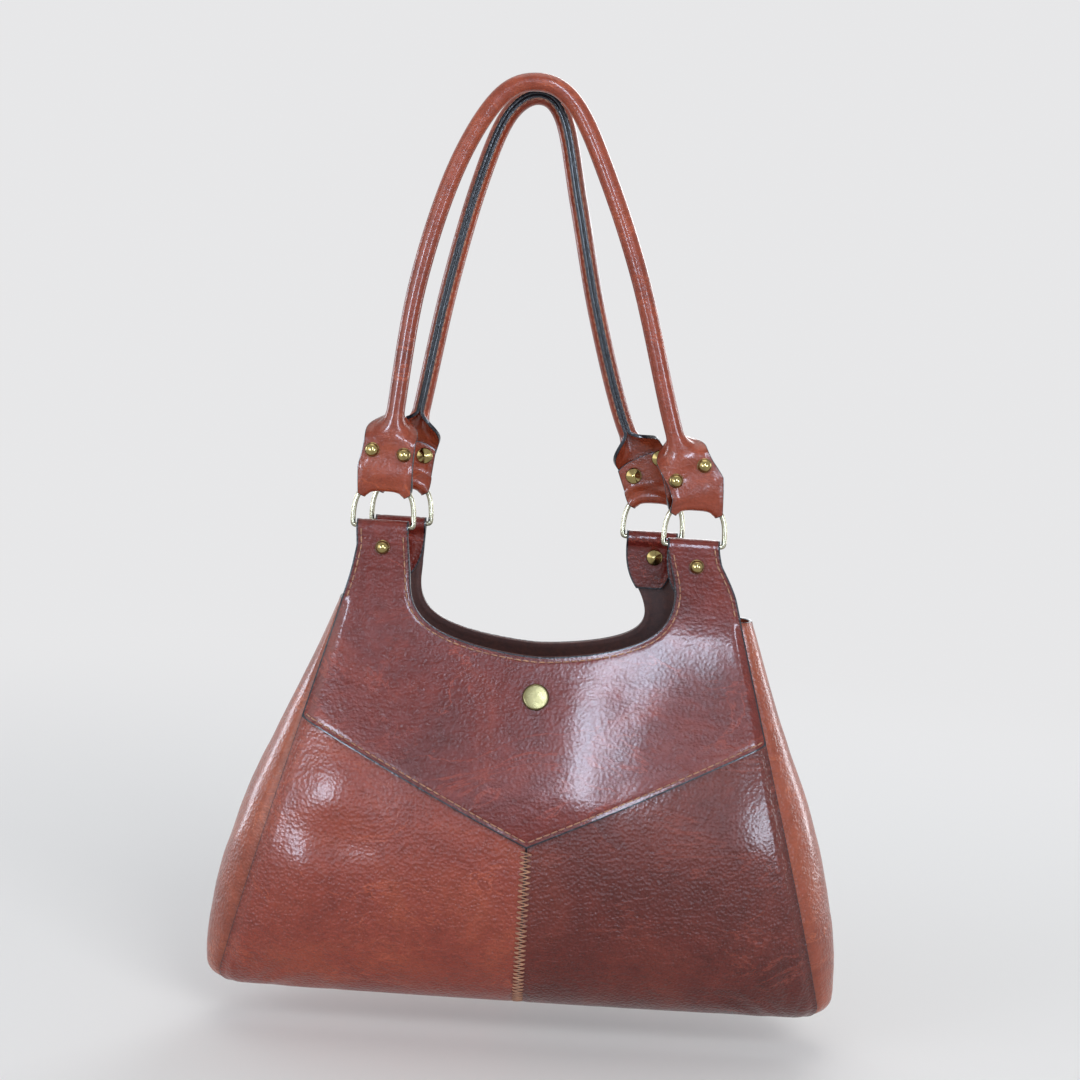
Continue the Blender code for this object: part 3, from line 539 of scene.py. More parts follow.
def rolled_section(distances, roll):
    """Sideways and inward places across the strap, rolled up by the given share."""
    fine = np.linspace(0, STRAP_WIDTH / 2, SECTION_STEPS)
    angle = np.where(fine <= TUBE_WRAP, fine / TUBE_MID_RADIUS,
                     np.maximum(math.pi / 2, TUBE_WRAP_ANGLE - (fine - TUBE_WRAP) / TUBE_RETURN_RADIUS))
    step = fine[1] - fine[0]
    side = np.concatenate([[0], np.cumsum((np.cos(angle * roll) * step)[1:])])
    inward = np.concatenate([[0], np.cumsum((np.sin(angle * roll) * step)[1:])])
    length = np.abs(distances)
    return np.sign(distances) * np.interp(length, fine, side), np.interp(length, fine, inward)


def tab_rows(face, side, columns, tip):
    """Rows of a tab from the end of its turned-back layer, and round the ring's arch."""
    ring = ring_centre(face, side)
    fold = TAB_FOLD_WIDTH / STRAP_WIDTH
    places, outward = arch_places(columns * fold)
    loops = places + outward * TAB_LOOP_LIFT + np.array([ring.x, ring.z])
    top = np.array([ring.x, ring.z + RING_RISE + TAB_LOOP_LIFT])
    along = unit(tip - top)
    across = np.array([along[1], -along[0]])
    share = np.linspace(1, 0, TAB_ROWS + 1)[:, None]
    closing = ease(share * TAB_BACK_LENGTH / TAB_CLOSE)
    depth = RING_Y - TAB_FOLD_RADIUS + closing * (2 * TAB_FOLD_RADIUS - LEATHER - FIT_GAP)
    reach = TAB_BACK_LENGTH * (1 - TAB_END_ROUND * np.abs(2 * columns / STRAP_WIDTH) ** 3)
    ends = top + reach[:, None] * along + (columns * fold * TAB_END_TAPER)[:, None] * across
    x = loops[:, 0] + (ends[:, 0] - loops[:, 0]) * share
    z = loops[:, 1] + (ends[:, 1] - loops[:, 1]) * share
    layer = stacked(x, face * depth, z)
    turn = math.pi * steps(FOLD_STEPS)[1:, None]
    sunk = TAB_FOLD_RADIUS * np.sin(turn)
    x = loops[:, 0] - outward[:, 0] * sunk
    z = loops[:, 1] - outward[:, 1] * sunk
    bend = stacked(x, face * (RING_Y - TAB_FOLD_RADIUS * np.cos(turn)), z)
    return np.concatenate([layer, bend])


def course_rows(face, distances, stops):
    """Points at the given distances across the strap, at each stop along a handle's course."""
    course = handle_course(face)
    lengths = path_lengths(course)
    tangents = np.gradient(course, axis=0)
    centres = along_path(course, lengths, stops)
    along = unit(along_path(tangents, lengths, stops))
    above = TAB_STRAIGHT + np.minimum(stops, lengths[-1] - stops)
    rolls = ease((above - ROLL_START) / (ROLL_END - ROLL_START))
    flat = np.minimum(1.0, above / HANDLE_RIVET_RISE)
    squeeze = TAB_FOLD_WIDTH + (TAB_WIDTH - TAB_FOLD_WIDTH) * flat + (STRAP_WIDTH - TAB_WIDTH) * rolls
    puff = TAB_PUFF * np.exp(-((above - TAB_PUFF_RISE) / TAB_PUFF_REACH) ** 2)
    dip = TAB_DIP * np.exp(-((above - HANDLE_RIVET_RISE) / TAB_PUFF_REACH) ** 2)
    rows = []
    for centre, (u, v), roll, width, out, sunk in zip(centres, along, rolls, squeeze, puff, dip):
        side, inward = rolled_section(distances * (width / STRAP_WIDTH), roll)
        middle = 1 - (np.abs(side) / TAB_WIDTH) ** 2
        inward = inward - out * middle + sunk * np.cos(2 * math.pi * side / TAB_WIDTH)
        rows.append(stacked(centre[0] + v * side, face * (STRAP_Y - inward), centre[1] - u * side))
    return np.array(rows)


def tab_front(face, columns, fold, first):
    """Rows between a tab's fold and the first row of its course, swelling over the ring."""
    share = np.linspace(0, 1, TAB_FRONT_ROWS + 2)[1:-1, None]
    swelling = TAB_PUFF / 2 * np.sin(math.pi * share) * (1 - (2 * columns / STRAP_WIDTH) ** 2)
    rows = fold + (first - fold) * share[:, :, None]
    rows[:, :, 1] += face * swelling
    return rows


def handle_grid(face):
    """A whole strap: tab, roll, course, roll and tab."""
    columns = strap_columns()
    course = handle_course(face)
    lengths = path_lengths(course)
    low = np.linspace(0, ROLLED, ROLL_ROWS + 1)[:-1]
    middle = np.linspace(ROLLED, lengths[-1] - ROLLED, COURSE_STEPS + 1)
    stops = np.concatenate([low, middle, lengths[-1] - low[::-1]])
    left_tip, right_tip = along_path(course, lengths, np.array([LEAN_REACH, lengths[-1] - LEAN_REACH]))
    left = tab_rows(face, LEFT, columns, left_tip)
    right = tab_rows(face, RIGHT, columns[::-1], right_tip)
    rows = course_rows(face, columns, stops)
    left_front = tab_front(face, columns, left[-1], rows[0])
    right_front = tab_front(face, columns, right[-1], rows[-1])
    return np.concatenate([left, left_front, rows, right_front[::-1], right[::-1]])


# Making pieces

def add_piece(mesh, materials, nodes=(), body=None):
    made = bpy.data.objects.new(mesh.name, mesh)
    bpy.context.collection.objects.link(made)
    for material in materials:
        mesh.materials.append(material)
    mesh.shade_smooth()
    if nodes:
        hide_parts(*nodes)
    if body:
        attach(made, body)
    return made


def to_mesh(name, shape):
    mesh = bpy.data.meshes.new(name)
    shape.to_mesh(mesh)
    shape.free()
    return mesh


def leather_mesh(name, grids, thickness, offset, flip):
    """A leather sheet with grooved stitch lines and rounded edges: grain side, flesh side, then raw edges."""
    shape = bmesh.new()
    for grid in grids:
        rows = [[shape.verts.new(point) for point in row] for row in grid]
        for upper, lower in zip(rows, rows[1:]):
            for i in range(len(upper) - 1):
                corners = [upper[i], lower[i], lower[i + 1], upper[i + 1]]
                shape.faces.new(corners[::-1] if flip else corners)
    bmesh.ops.remove_doubles(shape, verts=shape.verts, dist=1e-6)
    shape.normal_update()
    edges = [vertex.co.copy() for vertex in shape.verts if vertex.is_boundary]
    tree = kdtree.KDTree(len(edges))
    for i, point in enumerate(edges):
        tree.insert(point, i)
    tree.balance()
    kept = shape.verts.layers.float.new("edge_distance")
    for vertex in shape.verts:
        distance = tree.find(vertex.co)[2]
        vertex[kept] = distance
        groove = GROOVE_DEPTH * math.exp(-((distance - STITCH_INSET) / GROOVE_WIDTH) ** 2)
        vertex.co -= groove * vertex.normal
    mesh = to_mesh(name, shape)
    mesh.shade_smooth()
    flat = bpy.data.objects.new(name + "_flat", mesh)
    bpy.context.collection.objects.link(flat)
    solid = flat.modifiers.new("thickness", "SOLIDIFY")
    solid.thickness = thickness
    solid.offset = offset
    solid.material_offset = 1
    solid.material_offset_rim = 2
    for _ in range(3):
        mesh.materials.append(None)
    soft = flat.modifiers.new("soft_edges", "BEVEL")
    soft.width = EDGE_ROUNDING
    soft.segments = 2
    soft.limit_method = "ANGLE"
    soft.angle_limit = math.radians(60)
    graph = bpy.context.evaluated_depsgraph_get()
    thick = flat.evaluated_get(graph)
    made = bpy.data.meshes.new_from_object(thick, preserve_all_data_layers=True, depsgraph=graph)
    made.materials.clear()
    bpy.data.objects.remove(flat)
    bpy.data.meshes.remove(mesh)
    made.name = name
    return made


def turned_mesh(name, outlines):
    """Round pieces from outlines of radius and height, each with its centre and direction."""
    shape = bmesh.new()
    for outline, centre, direction in outlines:
        turn = Vector((0, 0, 1)).rotation_difference(Vector(direction)).to_matrix()
        rings = []
        for radius, height in outline:
            if radius < 1e-6:
                rings.append([shape.verts.new(Vector(centre) + turn @ Vector((0, 0, height)))])
                continue
            ring = []
            for k in range(TURN_STEPS):
                angle = 2 * math.pi * k / TURN_STEPS
                local = Vector((radius * math.cos(angle), radius * math.sin(angle), height))
                ring.append(shape.verts.new(Vector(centre) + turn @ local))
            rings.append(ring)
        for upper, lower in zip(rings, rings[1:]):
            for k in range(TURN_STEPS):
                n = (k + 1) % TURN_STEPS
                if len(upper) == 1:
                    shape.faces.new((upper[0], lower[k], lower[n]))
                elif len(lower) == 1:
                    shape.faces.new((upper[k], lower[0], upper[n]))
                else:
                    shape.faces.new((upper[k], lower[k], lower[n], upper[n]))
    return to_mesh(name, shape)


def tube_mesh(name, tubes, sides):
    """Tubes along paths, each with a radius at every point; a closed path joins its own start."""
    shape = bmesh.new()
    for path, radii, closed in tubes:
        path = np.asarray(path)
        if closed:
            along = np.roll(path, -1, axis=0) - np.roll(path, 1, axis=0)
        else:
            along = np.gradient(path, axis=0)
        across = Vector((0, 1, 0)) if closed else Vector(along[0]).orthogonal()
        rings = []
        for point, direction, radius in zip(path, along, radii):
            direction = Vector(direction).normalized()
            across = (across - direction * across.dot(direction)).normalized()
            upright = direction.cross(across)
            ring = []
            for k in range(sides):
                angle = 2 * math.pi * k / sides
                out = across * math.cos(angle) + upright * math.sin(angle)
                ring.append(shape.verts.new(Vector(point) + out * float(radius)))
            rings.append(ring)
        pairs = list(zip(rings, rings[1:])) + ([(rings[-1], rings[0])] if closed else [])
        for upper, lower in pairs:
            for k in range(sides):
                n = (k + 1) % sides
                shape.faces.new((upper[k], upper[n], lower[n], lower[k]))
        if not closed:
            shape.faces.new(rings[0][::-1])
            shape.faces.new(rings[-1])
    return to_mesh(name, shape)


def stitch(points, normals, lengths, start, length):
    """One sewn thread: it rises out of the leather, lies on it and dives back in."""
    stops = start + length * STITCH_STATIONS
    up = unit(along_path(normals, lengths, stops))
    places = along_path(points, lengths, stops) + up * STITCH_RISE[:, None]
    return places, STITCH_RADIUS * STITCH_FULLNESS, False


def stitch_tubes(points, normals):
    """Sewn threads along a line."""
    lengths = path_lengths(points)
    starts = STITCH_PITCH * (np.arange(int(lengths[-1] / STITCH_PITCH)) + 0.5) - STITCH_LENGTH / 2
    return [stitch(points, normals, lengths, start, STITCH_LENGTH) for start in starts]


def wall_run(face, side, x, drop, offset):
    """Points on a wall and the directions straight out of it."""
    step = 0.001
    points = soft_wall(face, side, x, drop, offset)
    slope_x = (wall_depth(x + step, drop) - wall_depth(x - step, drop)) / (2 * step)
    slope_drop = (wall_depth(x, drop + step) - wall_depth(x, drop - step)) / (2 * step)
    return points, unit(stacked(-side * slope_x, face, slope_drop))


# Materials

def linear(red, green, blue):
    """A colour given as it looks on a screen, from 0 to 255, for Blender's sockets."""
    shares = [value / 255 for value in (red, green, blue)]
    return (*[share / 12.92 if share <= 0.04045 else ((share + 0.055) / 1.055) ** 2.4 for share in shares], 1)


def new_material(name):
    """A material, its empty node tree, and the place of a point on the piece."""
    made = bpy.data.materials.new(name)
    made.use_nodes = True
    tree = made.node_tree
    tree.nodes.clear()
    return made, tree, node(tree, "TexCoord", {}).outputs["Object"]


def node(tree, kind, sockets, **settings):
    """A shader node with its settings, and its sockets set to values or linked to other nodes."""
    made = tree.nodes.new("ShaderNode" + kind)
    for key, value in settings.items():
        setattr(made, key, value)
    for key, value in sockets.items():
        if isinstance(value, bpy.types.NodeSocket):
            tree.links.new(value, made.inputs[key])
        else:
            made.inputs[key].default_value = value
    return made


def ramp(tree, source, stops):
    """A colour ramp over a value, from pairs of place and colour."""
    made = node(tree, "ValToRGB", {"Fac": source})
    elements = made.color_ramp.elements
    while len(elements) < len(stops):
        elements.new(0.5)
    for element, (position, colour) in zip(elements, stops):
        element.position = position
        element.color = colour
    return made.outputs["Color"]


def grey(value):
    return (value, value, value, 1)


def scaled(colour, by):
    return (colour[0] * by, colour[1] * by, colour[2] * by, 1)


def noise_at(tree, place_at, scale, detail=4.0, roughness=0.55, distortion=0.0):
    sockets = {"Vector": place_at, "Scale": scale, "Detail": detail, "Roughness": roughness}
    return node(tree, "TexNoise", {**sockets, "Distortion": distortion}).outputs["Fac"]


def spread(tree, value, low, high, first=0.0, last=1.0, **settings):
    """A value's run from low to high, moved to the run from first to last."""
    sockets = {"Value": value, "From Min": low, "From Max": high, "To Min": first, "To Max": last}
    return node(tree, "MapRange", sockets, **settings).outputs["Result"]


def tint(tree, colour, by):
    return node(tree, "Mix", {0: 1.0, 6: colour, 7: by}, data_type="RGBA", blend_type="MULTIPLY").outputs[2]


def mix(tree, share, first, second):
    return node(tree, "Mix", {0: share, 6: first, 7: second}, data_type="RGBA").outputs[2]


def bump(tree, height, strength, distance, normal=None):
    sockets = {"Height": height, "Strength": strength, "Distance": distance}
    if normal is not None:
        sockets["Normal"] = normal
    return node(tree, "Bump", sockets).outputs["Normal"]


def finish_material(tree, sockets):
    shader = node(tree, "BsdfPrincipled", sockets)
    node(tree, "OutputMaterial", {"Surface": shader.outputs["BSDF"]})


# Dark edge paint colour: real dye on cut edges, and also painted shadow where the leather lays it along seams
# and under the yoke's pointed edge
EDGE_PAINT_AND_SEAM_SHADE = (0.012, 0.015, 0.024, 1)
EDGE_PAINT_WORN = (0.034, 0.036, 0.050, 1)

# Wax fills most of the grain, so its shine follows this share of the relief
WAX_SHARE = 0.12


def leather(name, dark, middle, light, pebble, wrinkles, gloss, paint_and_shade_wrap):
    """Waxed leather: clouded colour, edges darkened by wear, edge paint and painted shade, pale crease lines,
    scratches, wrinkles and grain.
    """
    made, tree, place_at = new_material(name)
    stretched = node(tree, "Mapping", {"Vector": place_at, "Scale": (0.60, 1.0, 1.5)}).outputs["Vector"]
    clouds = noise_at(tree, place_at, 15.0, 6.0, 0.70, 0.8)
    colour = ramp(tree, clouds, ((0.26, dark), (0.50, middle), (0.74, light)))
    mottle = noise_at(tree, place_at, 150.0, 4.0, 0.7)
    colour = tint(tree, colour, ramp(tree, mottle, ((0.30, grey(0.86)), (0.64, grey(1.08)))))
    edge = node(tree, "Attribute", {}, attribute_name="edge_distance").outputs["Fac"]
    # Darker towards every edge of a piece: partly worn edges, partly painted shade at seams and where pieces
    # lap over each other
    colour = tint(tree, colour, spread(tree, edge, 0.0004, 0.0030, 0.74, 1.0))
    lines = noise_at(tree, stretched, 22.0, 6.0, 0.62, 1.4)
    crease = ramp(tree, lines, ((0.484, grey(0.0)), (0.500, grey(1.0)), (0.516, grey(0.0))))
    patchy = ramp(tree, noise_at(tree, place_at, 28.0, 3.0), ((0.40, grey(0.0)), (0.60, grey(0.80))))
    worn = tint(tree, crease, patchy)
    colour = mix(tree, worn, colour, scaled(light, 1.25))
    slanted = node(tree, "Mapping", {"Vector": place_at, "Scale": (0.22, 1.0, 1.0),
                                     "Rotation": (0.0, 0.35, 0.0)}).outputs["Vector"]
    scratch = ramp(tree, noise_at(tree, slanted, 120.0, 2.0), ((0.735, grey(0.0)), (0.76, grey(0.4))))
    colour = mix(tree, scratch, colour, scaled(light, 1.4))
    # Edge paint colour over a narrow band at every edge: dye on cut edges, and painted shadow as dark lines
    # along seams and laps
    colour = mix(tree, spread(tree, edge, paint_and_shade_wrap, 0.6 * paint_and_shade_wrap), colour, EDGE_PAINT_AND_SEAM_SHADE)
    folds = noise_at(tree, stretched, 75.0, 3.0, 0.55, 1.0)
    wrinkle = noise_at(tree, stretched, 210.0, 5.0, 0.62, 0.9)
    cells = node(tree, "TexVoronoi", {"Vector": place_at, "Scale": 620.0, "Smoothness": 0.5},
                 feature="SMOOTH_F1").outputs["Distance"]
    normal = bump(tree, crease, 0.20, 0.0004)
    normal = bump(tree, folds, 0.5 * wrinkles, 0.0016, normal)
    normal = bump(tree, wrinkle, wrinkles, 0.0010, normal)
    normal = bump(tree, cells, pebble, 0.0014, normal)
    normal = bump(tree, noise_at(tree, place_at, 1500.0, 3.0), 0.15, 0.0002, normal)
    wax = bump(tree, folds, WAX_SHARE * wrinkles, 0.0016)
    wax = bump(tree, wrinkle, WAX_SHARE * wrinkles, 0.0010, wax)
    wax = bump(tree, cells, WAX_SHARE * pebble, 0.0014, wax)
    rough = spread(tree, mottle, 0.3, 0.7, gloss + 0.06, gloss + 0.20)
    finish_material(tree, {"Base Color": colour, "Roughness": rough, "Normal": normal, "Coat Normal": wax,
                           "Specular IOR Level": 0.20, "Coat Weight": 0.46, "Coat Roughness": gloss})
    return made


def raw_leather(name, dark, light, rough):
    """Unfinished leather: fibres in two shades."""
    made, tree, place_at = new_material(name)
    fibres = noise_at(tree, place_at, 420.0, 6.0, 0.7, 0.8)
    colour = ramp(tree, fibres, ((0.30, dark), (0.70, light)))
    normal = bump(tree, noise_at(tree, place_at, 1400.0, 4.0), 0.35, 0.0003)
    finish_material(tree, {"Base Color": colour, "Roughness": rough, "Normal": normal, "Sheen Weight": 0.15})
    return made


def edge_paint(name):
    """Cut edges sealed with a dark, slightly shiny paint."""
    made, tree, place_at = new_material(name)
    patches = noise_at(tree, place_at, 300.0, 4.0)
    colour = ramp(tree, patches, ((0.35, EDGE_PAINT_AND_SEAM_SHADE), (0.70, EDGE_PAINT_WORN)))
    normal = bump(tree, noise_at(tree, place_at, 900.0, 3.0), 0.25, 0.0003)
    finish_material(tree, {"Base Color": colour, "Roughness": 0.34, "Normal": normal, "Coat Weight": 0.4,
                           "Coat Roughness": 0.2})
    return made


def metal(name, colour, tarnish, rough):
    """Plated metal with fine scratches and a little tarnish."""
    made, tree, place_at = new_material(name)
    clouds = noise_at(tree, place_at, 220.0, 5.0, 0.65)
    shade = mix(tree, ramp(tree, clouds, ((0.45, grey(0.0)), (0.75, grey(1.0)))), colour, tarnish)
    normal = bump(tree, noise_at(tree, place_at, 900.0, 5.0, 0.5, 3.0), 0.05, 0.0001)
    level = spread(tree, clouds, 0.3, 0.7, rough, rough + 0.15)
    finish_material(tree, {"Base Color": shade, "Metallic": 1.0, "Roughness": level, "Normal": normal})
    return made


def thread(name, dark, light):
    """Waxed sewing thread with its twist."""
    made, tree, place_at = new_material(name)
    shade = ramp(tree, noise_at(tree, place_at, 260.0, 4.0), ((0.35, dark), (0.65, light)))
    twist = node(tree, "TexWave", {"Vector": place_at, "Scale": 700.0, "Distortion": 1.0},
                 bands_direction="DIAGONAL").outputs["Fac"]
    normal = bump(tree, twist, 0.4, 0.0002)
    finish_material(tree, {"Base Color": shade, "Roughness": 0.65, "Normal": normal, "Sheen Weight": 0.2})
    return made


# The last argument is the width of the dark edge band; the yoke's is wider to paint the shadow under its
# pointed edge as well as its dye
yoke_leather = leather("yoke_leather", linear(86, 27, 24), linear(110, 38, 32), linear(136, 56, 42),
                       pebble=0.20, wrinkles=0.45, gloss=0.15, paint_and_shade_wrap=0.0010)
left_leather = leather("left_panel_leather", linear(118, 46, 37), linear(142, 62, 48), linear(158, 76, 54),
                       pebble=0.55, wrinkles=0.50, gloss=0.20, paint_and_shade_wrap=0.0003)
right_leather = leather("right_panel_leather", linear(78, 26, 22), linear(100, 38, 31), linear(120, 52, 40),
                        pebble=0.55, wrinkles=0.50, gloss=0.19, paint_and_shade_wrap=0.0003)
gusset_leather = leather("gusset_leather", linear(128, 56, 40), linear(154, 76, 54), linear(172, 94, 66),
                         pebble=0.30, wrinkles=0.50, gloss=0.18, paint_and_shade_wrap=0.0003)
handle_leather = leather("handle_leather", linear(116, 46, 29), linear(146, 64, 41), linear(166, 82, 52),
                         pebble=0.10, wrinkles=0.35, gloss=0.15, paint_and_shade_wrap=0.0004)
facing_leather = raw_leather("facing_leather", linear(58, 27, 21), linear(92, 48, 37), 0.70)
flesh_side = raw_leather("flesh_side", linear(84, 56, 42), linear(124, 86, 64), 0.9)
dyed_edge = edge_paint("dyed_edge")
rivet_brass = metal("rivet_brass", (0.34, 0.27, 0.11, 1), (0.18, 0.13, 0.06, 1), 0.07)
snap_brass = metal("snap_brass", (0.19, 0.165, 0.08, 1), (0.13, 0.11, 0.05, 1), 0.22)
ring_metal = metal("ring_metal", (0.42, 0.40, 0.30, 1), (0.25, 0.22, 0.15, 1), 0.16)
sewing_thread = thread("sewing_thread", linear(146, 96, 72), linear(192, 142, 110))
cord_thread = thread("cord_thread", linear(150, 134, 108), linear(190, 174, 148))


# Walls of the bag

def yoke_stitch_runs(face):
    """Sewing along the yoke's pointed foot, the mouth and both edges of each ear."""
    tubes = []
    out = YOKE_OFFSET
    for side in (LEFT, RIGHT):
        share = np.linspace(*FOOT_STITCH_RUN, LINE_STEPS)
        foot = yoke_foot(share) - FOOT_STITCH_INSET
        tubes += stitch_tubes(*wall_run(face, side, share * half_width(YOKE_SIDE_DROP), foot, out))
        edge = mouth_edge(ARCH_STEPS)
        along = unit(np.gradient(edge, axis=0))
        inner = edge + STITCH_INSET * stacked(-along[:, 1], along[:, 0])
        tubes += stitch_tubes(*wall_run(face, side, np.maximum(0.0, inner[:, 0]), inner[:, 1], out))
        drop = np.linspace(EAR_FOLD_RADIUS, GUSSET_TOP_DROP, EAR_LINE_STEPS)
        tubes += stitch_tubes(*wall_run(face, side, half_width(drop) - STITCH_INSET, drop, out))
    return tubes


def centre_seam_tubes(face):
    """Zigzag sewing that joins the two lower panels."""
    drop_at = np.linspace(YOKE_POINT_DROP + ZIGZAG_TOP_GAP, BODY_HEIGHT - ZIGZAG_FOOT_GAP, SECTION_STEPS)
    lengths = path_lengths(stacked(wall_depth(0.0 * drop_at, drop_at), drop_at))
    tubes = []
    for k in range(int(lengths[-1] / ZIGZAG_PITCH)):
        ends = np.interp(ZIGZAG_PITCH * np.array([k, k + 0.5, k + 1]), lengths, drop_at)
        for first, second, lean in ((ends[0], ends[1], 1), (ends[1], ends[2], -1)):
            across = lean * ZIGZAG_WIDTH / 2 * np.linspace(-1, 1, ZIGZAG_STEPS + 1)
            drop = np.linspace(first, second, ZIGZAG_STEPS + 1)
            points, normals = wall_run(face, RIGHT, np.abs(across), drop, 0.0)
            points[:, 0] = BAG_OFFSET_X + across
            points[:, 1] += face * ZIGZAG_LIFT
            along = path_lengths(points)
            tubes.append(stitch(points, normals, along, 0.0, along[-1]))
    return tubes


def dome(radius, height, base):
    turn = math.pi / 2 * steps(DOME_STEPS)
    return list(zip(radius * np.sin(turn), base + height * np.cos(turn)))


def rivet_outline(stack):
    """Dome with a narrow collar, shank, and a flat back cap with a small raised middle."""
    back = -stack - 2 * FIT_GAP
    end = back - RIVET_BACK_HEIGHT
    collar = 0.0005
    outline = dome(0.94 * RIVET_HEAD_RADIUS, RIVET_HEAD_HEIGHT - collar, collar)
    outline += [(RIVET_HEAD_RADIUS, collar), (RIVET_HEAD_RADIUS, 0.0), (RIVET_SHANK_RADIUS, 0.0)]
    outline += [(RIVET_SHANK_RADIUS, back), (RIVET_BACK_RADIUS, back), (RIVET_BACK_RADIUS, end + collar)]
    outline += [(RIVET_BACK_RADIUS - collar, end), (0.30 * RIVET_BACK_RADIUS, end - 0.4 * collar)]
    return outline + [(0.22 * RIVET_BACK_RADIUS, end - collar), (0.0, end - collar)]


def snap_outlines(face):
    """Outer cap, then the socket or the stud inside."""
    outside = YOKE_OFFSET + FIT_GAP
    inside = -FACING_LEATHER - FIT_GAP
    top = outside + 0.55 * SNAP_CAP_HEIGHT
    cap = dome(0.90 * SNAP_CAP_RADIUS, 0.12 * SNAP_CAP_HEIGHT, top)
    cap += [(0.97 * SNAP_CAP_RADIUS, 0.3 * outside + 0.7 * top), (SNAP_CAP_RADIUS, 0.7 * outside + 0.3 * top)]
    cap += [(0.98 * SNAP_CAP_RADIUS, outside)]
    cap += [(SNAP_SHANK_RADIUS, outside), (SNAP_SHANK_RADIUS, inside), (0.0, inside)]
    seat = inside - FIT_GAP
    plate = seat - LEATHER / 2
    if face == FRONT:
        end = seat - SNAP_SOCKET_HEIGHT
        lip = 0.0005
        held = [(0.0, seat), (SNAP_SOCKET_RADIUS - lip, seat), (SNAP_SOCKET_RADIUS, seat - lip)]
        held += [(SNAP_SOCKET_RADIUS, end + lip), (SNAP_SOCKET_RADIUS - lip, end)]
        held += [(SNAP_BORE_RADIUS + lip, end), (SNAP_BORE_RADIUS, end + lip)]
        held += [(SNAP_BORE_RADIUS, plate), (0.0, plate)]
    else:
        tip = seat - SNAP_STUD_HEIGHT
        held = [(0.0, seat), (SNAP_SOCKET_RADIUS, seat), (SNAP_SOCKET_RADIUS, plate)]
        held += [(0.85 * SNAP_STUD_RADIUS, plate), (0.85 * SNAP_STUD_RADIUS, tip + SNAP_STUD_RADIUS)]
        held += [(SNAP_STUD_RADIUS, tip + 0.6 * SNAP_STUD_RADIUS), (0.6 * SNAP_STUD_RADIUS, tip), (0.0, tip)]
    return cap, held


for face in (FRONT, BACK):
    wall = FACE_NAMES[face] + "_wall"
    name = FACE_NAMES[face]
    flip = face == BACK
    yoke = []
    facing = []
    for side in (LEFT, RIGHT):
        yoke.append(upper_grid(face, side, EAR_FOLD_RADIUS, 1.0, YOKE_ROWS, YOKE_OFFSET))
        yoke.append(ear_grid(face, side))
        facing.append(upper_grid(face, side, FACING_TOP_DROP, FACING_SHARE, FACING_ROWS, 0.0))
    mesh = leather_mesh(name + "_yoke_look", yoke, LEATHER, -1, flip)
    add_piece(mesh, (yoke_leather, flesh_side, dyed_edge), [name + "_yoke"], wall)
    mesh = leather_mesh(name + "_facing_look", facing, FACING_LEATHER, -1, flip)
    lining = (facing_leather, facing_leather, dyed_edge)
    add_piece(mesh, lining, [name + "_facing"], wall)
    for side, outer in ((LEFT, left_leather), (RIGHT, right_leather)):
        cad = f"{name}_{SIDE_NAMES[side]}_panel"
        mesh = leather_mesh(cad + "_look", [panel_grid(face, side)], LEATHER, -1, flip)
        add_piece(mesh, (outer, flesh_side, dyed_edge), [cad], wall)
        cad = f"{name}_{SIDE_NAMES[side]}_ear_rivet"
        x = BAG_OFFSET_X + side * EAR_CENTRE_X + float(ear_pull(face, side, EAR_RIVET_DROP))
        head = EAR_HALF_DEPTH + YOKE_OFFSET + FIT_GAP
        centre = (x, face * head, -EAR_TOP_DROP - EAR_RIVET_DROP)
        outline = rivet_outline(2 * LEATHER + FACING_LEATHER + 2 * FIT_GAP)
        mesh = turned_mesh(cad + "_look", [(outline, centre, (0, face, 0))])
        add_piece(mesh, [rivet_brass], [cad], wall)
    centre = soft_wall(face, RIGHT, np.array(0.0), np.array(SNAP_DROP), 0.0)
    direction = wall_normal(face, 0.0, SNAP_DROP)
    cap, held = snap_outlines(face)
    snap = ("snap_cap", "snap_socket") if face == FRONT else ("snap_post_cap", "snap_stud")
    for outline, cad in zip((cap, held), snap):
        mesh = turned_mesh(cad + "_look", [(outline, centre, direction)])
        add_piece(mesh, [snap_brass], [cad], wall)
    mesh = tube_mesh(name + "_yoke_stitching", yoke_stitch_runs(face), STITCH_SIDES)
    add_piece(mesh, [sewing_thread], (), wall)
    mesh = tube_mesh(name + "_seam_stitching", centre_seam_tubes(face), STITCH_SIDES)
    add_piece(mesh, [sewing_thread], (), wall)

# Gussets
for side in (LEFT, RIGHT):
    cad = SIDE_NAMES[side] + "_gusset"
    mesh = leather_mesh(cad + "_look", [gusset_grid(side)], LEATHER, -1, side == LEFT)
    made = add_piece(mesh, (gusset_leather, flesh_side, dyed_edge), [cad])
    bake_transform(made)


# Rings and handles

def ring_path(face, side):
    """Closed middle line of a D-ring with bent corners between its bar and its arch."""
    arch = arch_points(RING_ARCH_STEPS)
    bar = np.linspace(RING_HALF_WIDTH, -RING_HALF_WIDTH, RING_BAR_STEPS + 1)[1:-1]
    loop = np.concatenate([arch, stacked(bar, 0.0), arch[:1]])
    lengths = path_lengths(loop)
    loop = along_path(loop, lengths, np.linspace(0, lengths[-1], 4 * RING_STEPS, endpoint=False))
    for _ in range(RING_SMOOTHINGS):
        loop = 0.5 * loop + 0.25 * (np.roll(loop, 1, axis=0) + np.roll(loop, -1, axis=0))
    ring = ring_centre(face, side)
    return stacked(ring.x + loop[:, 0], ring.y, ring.z + loop[:, 1])


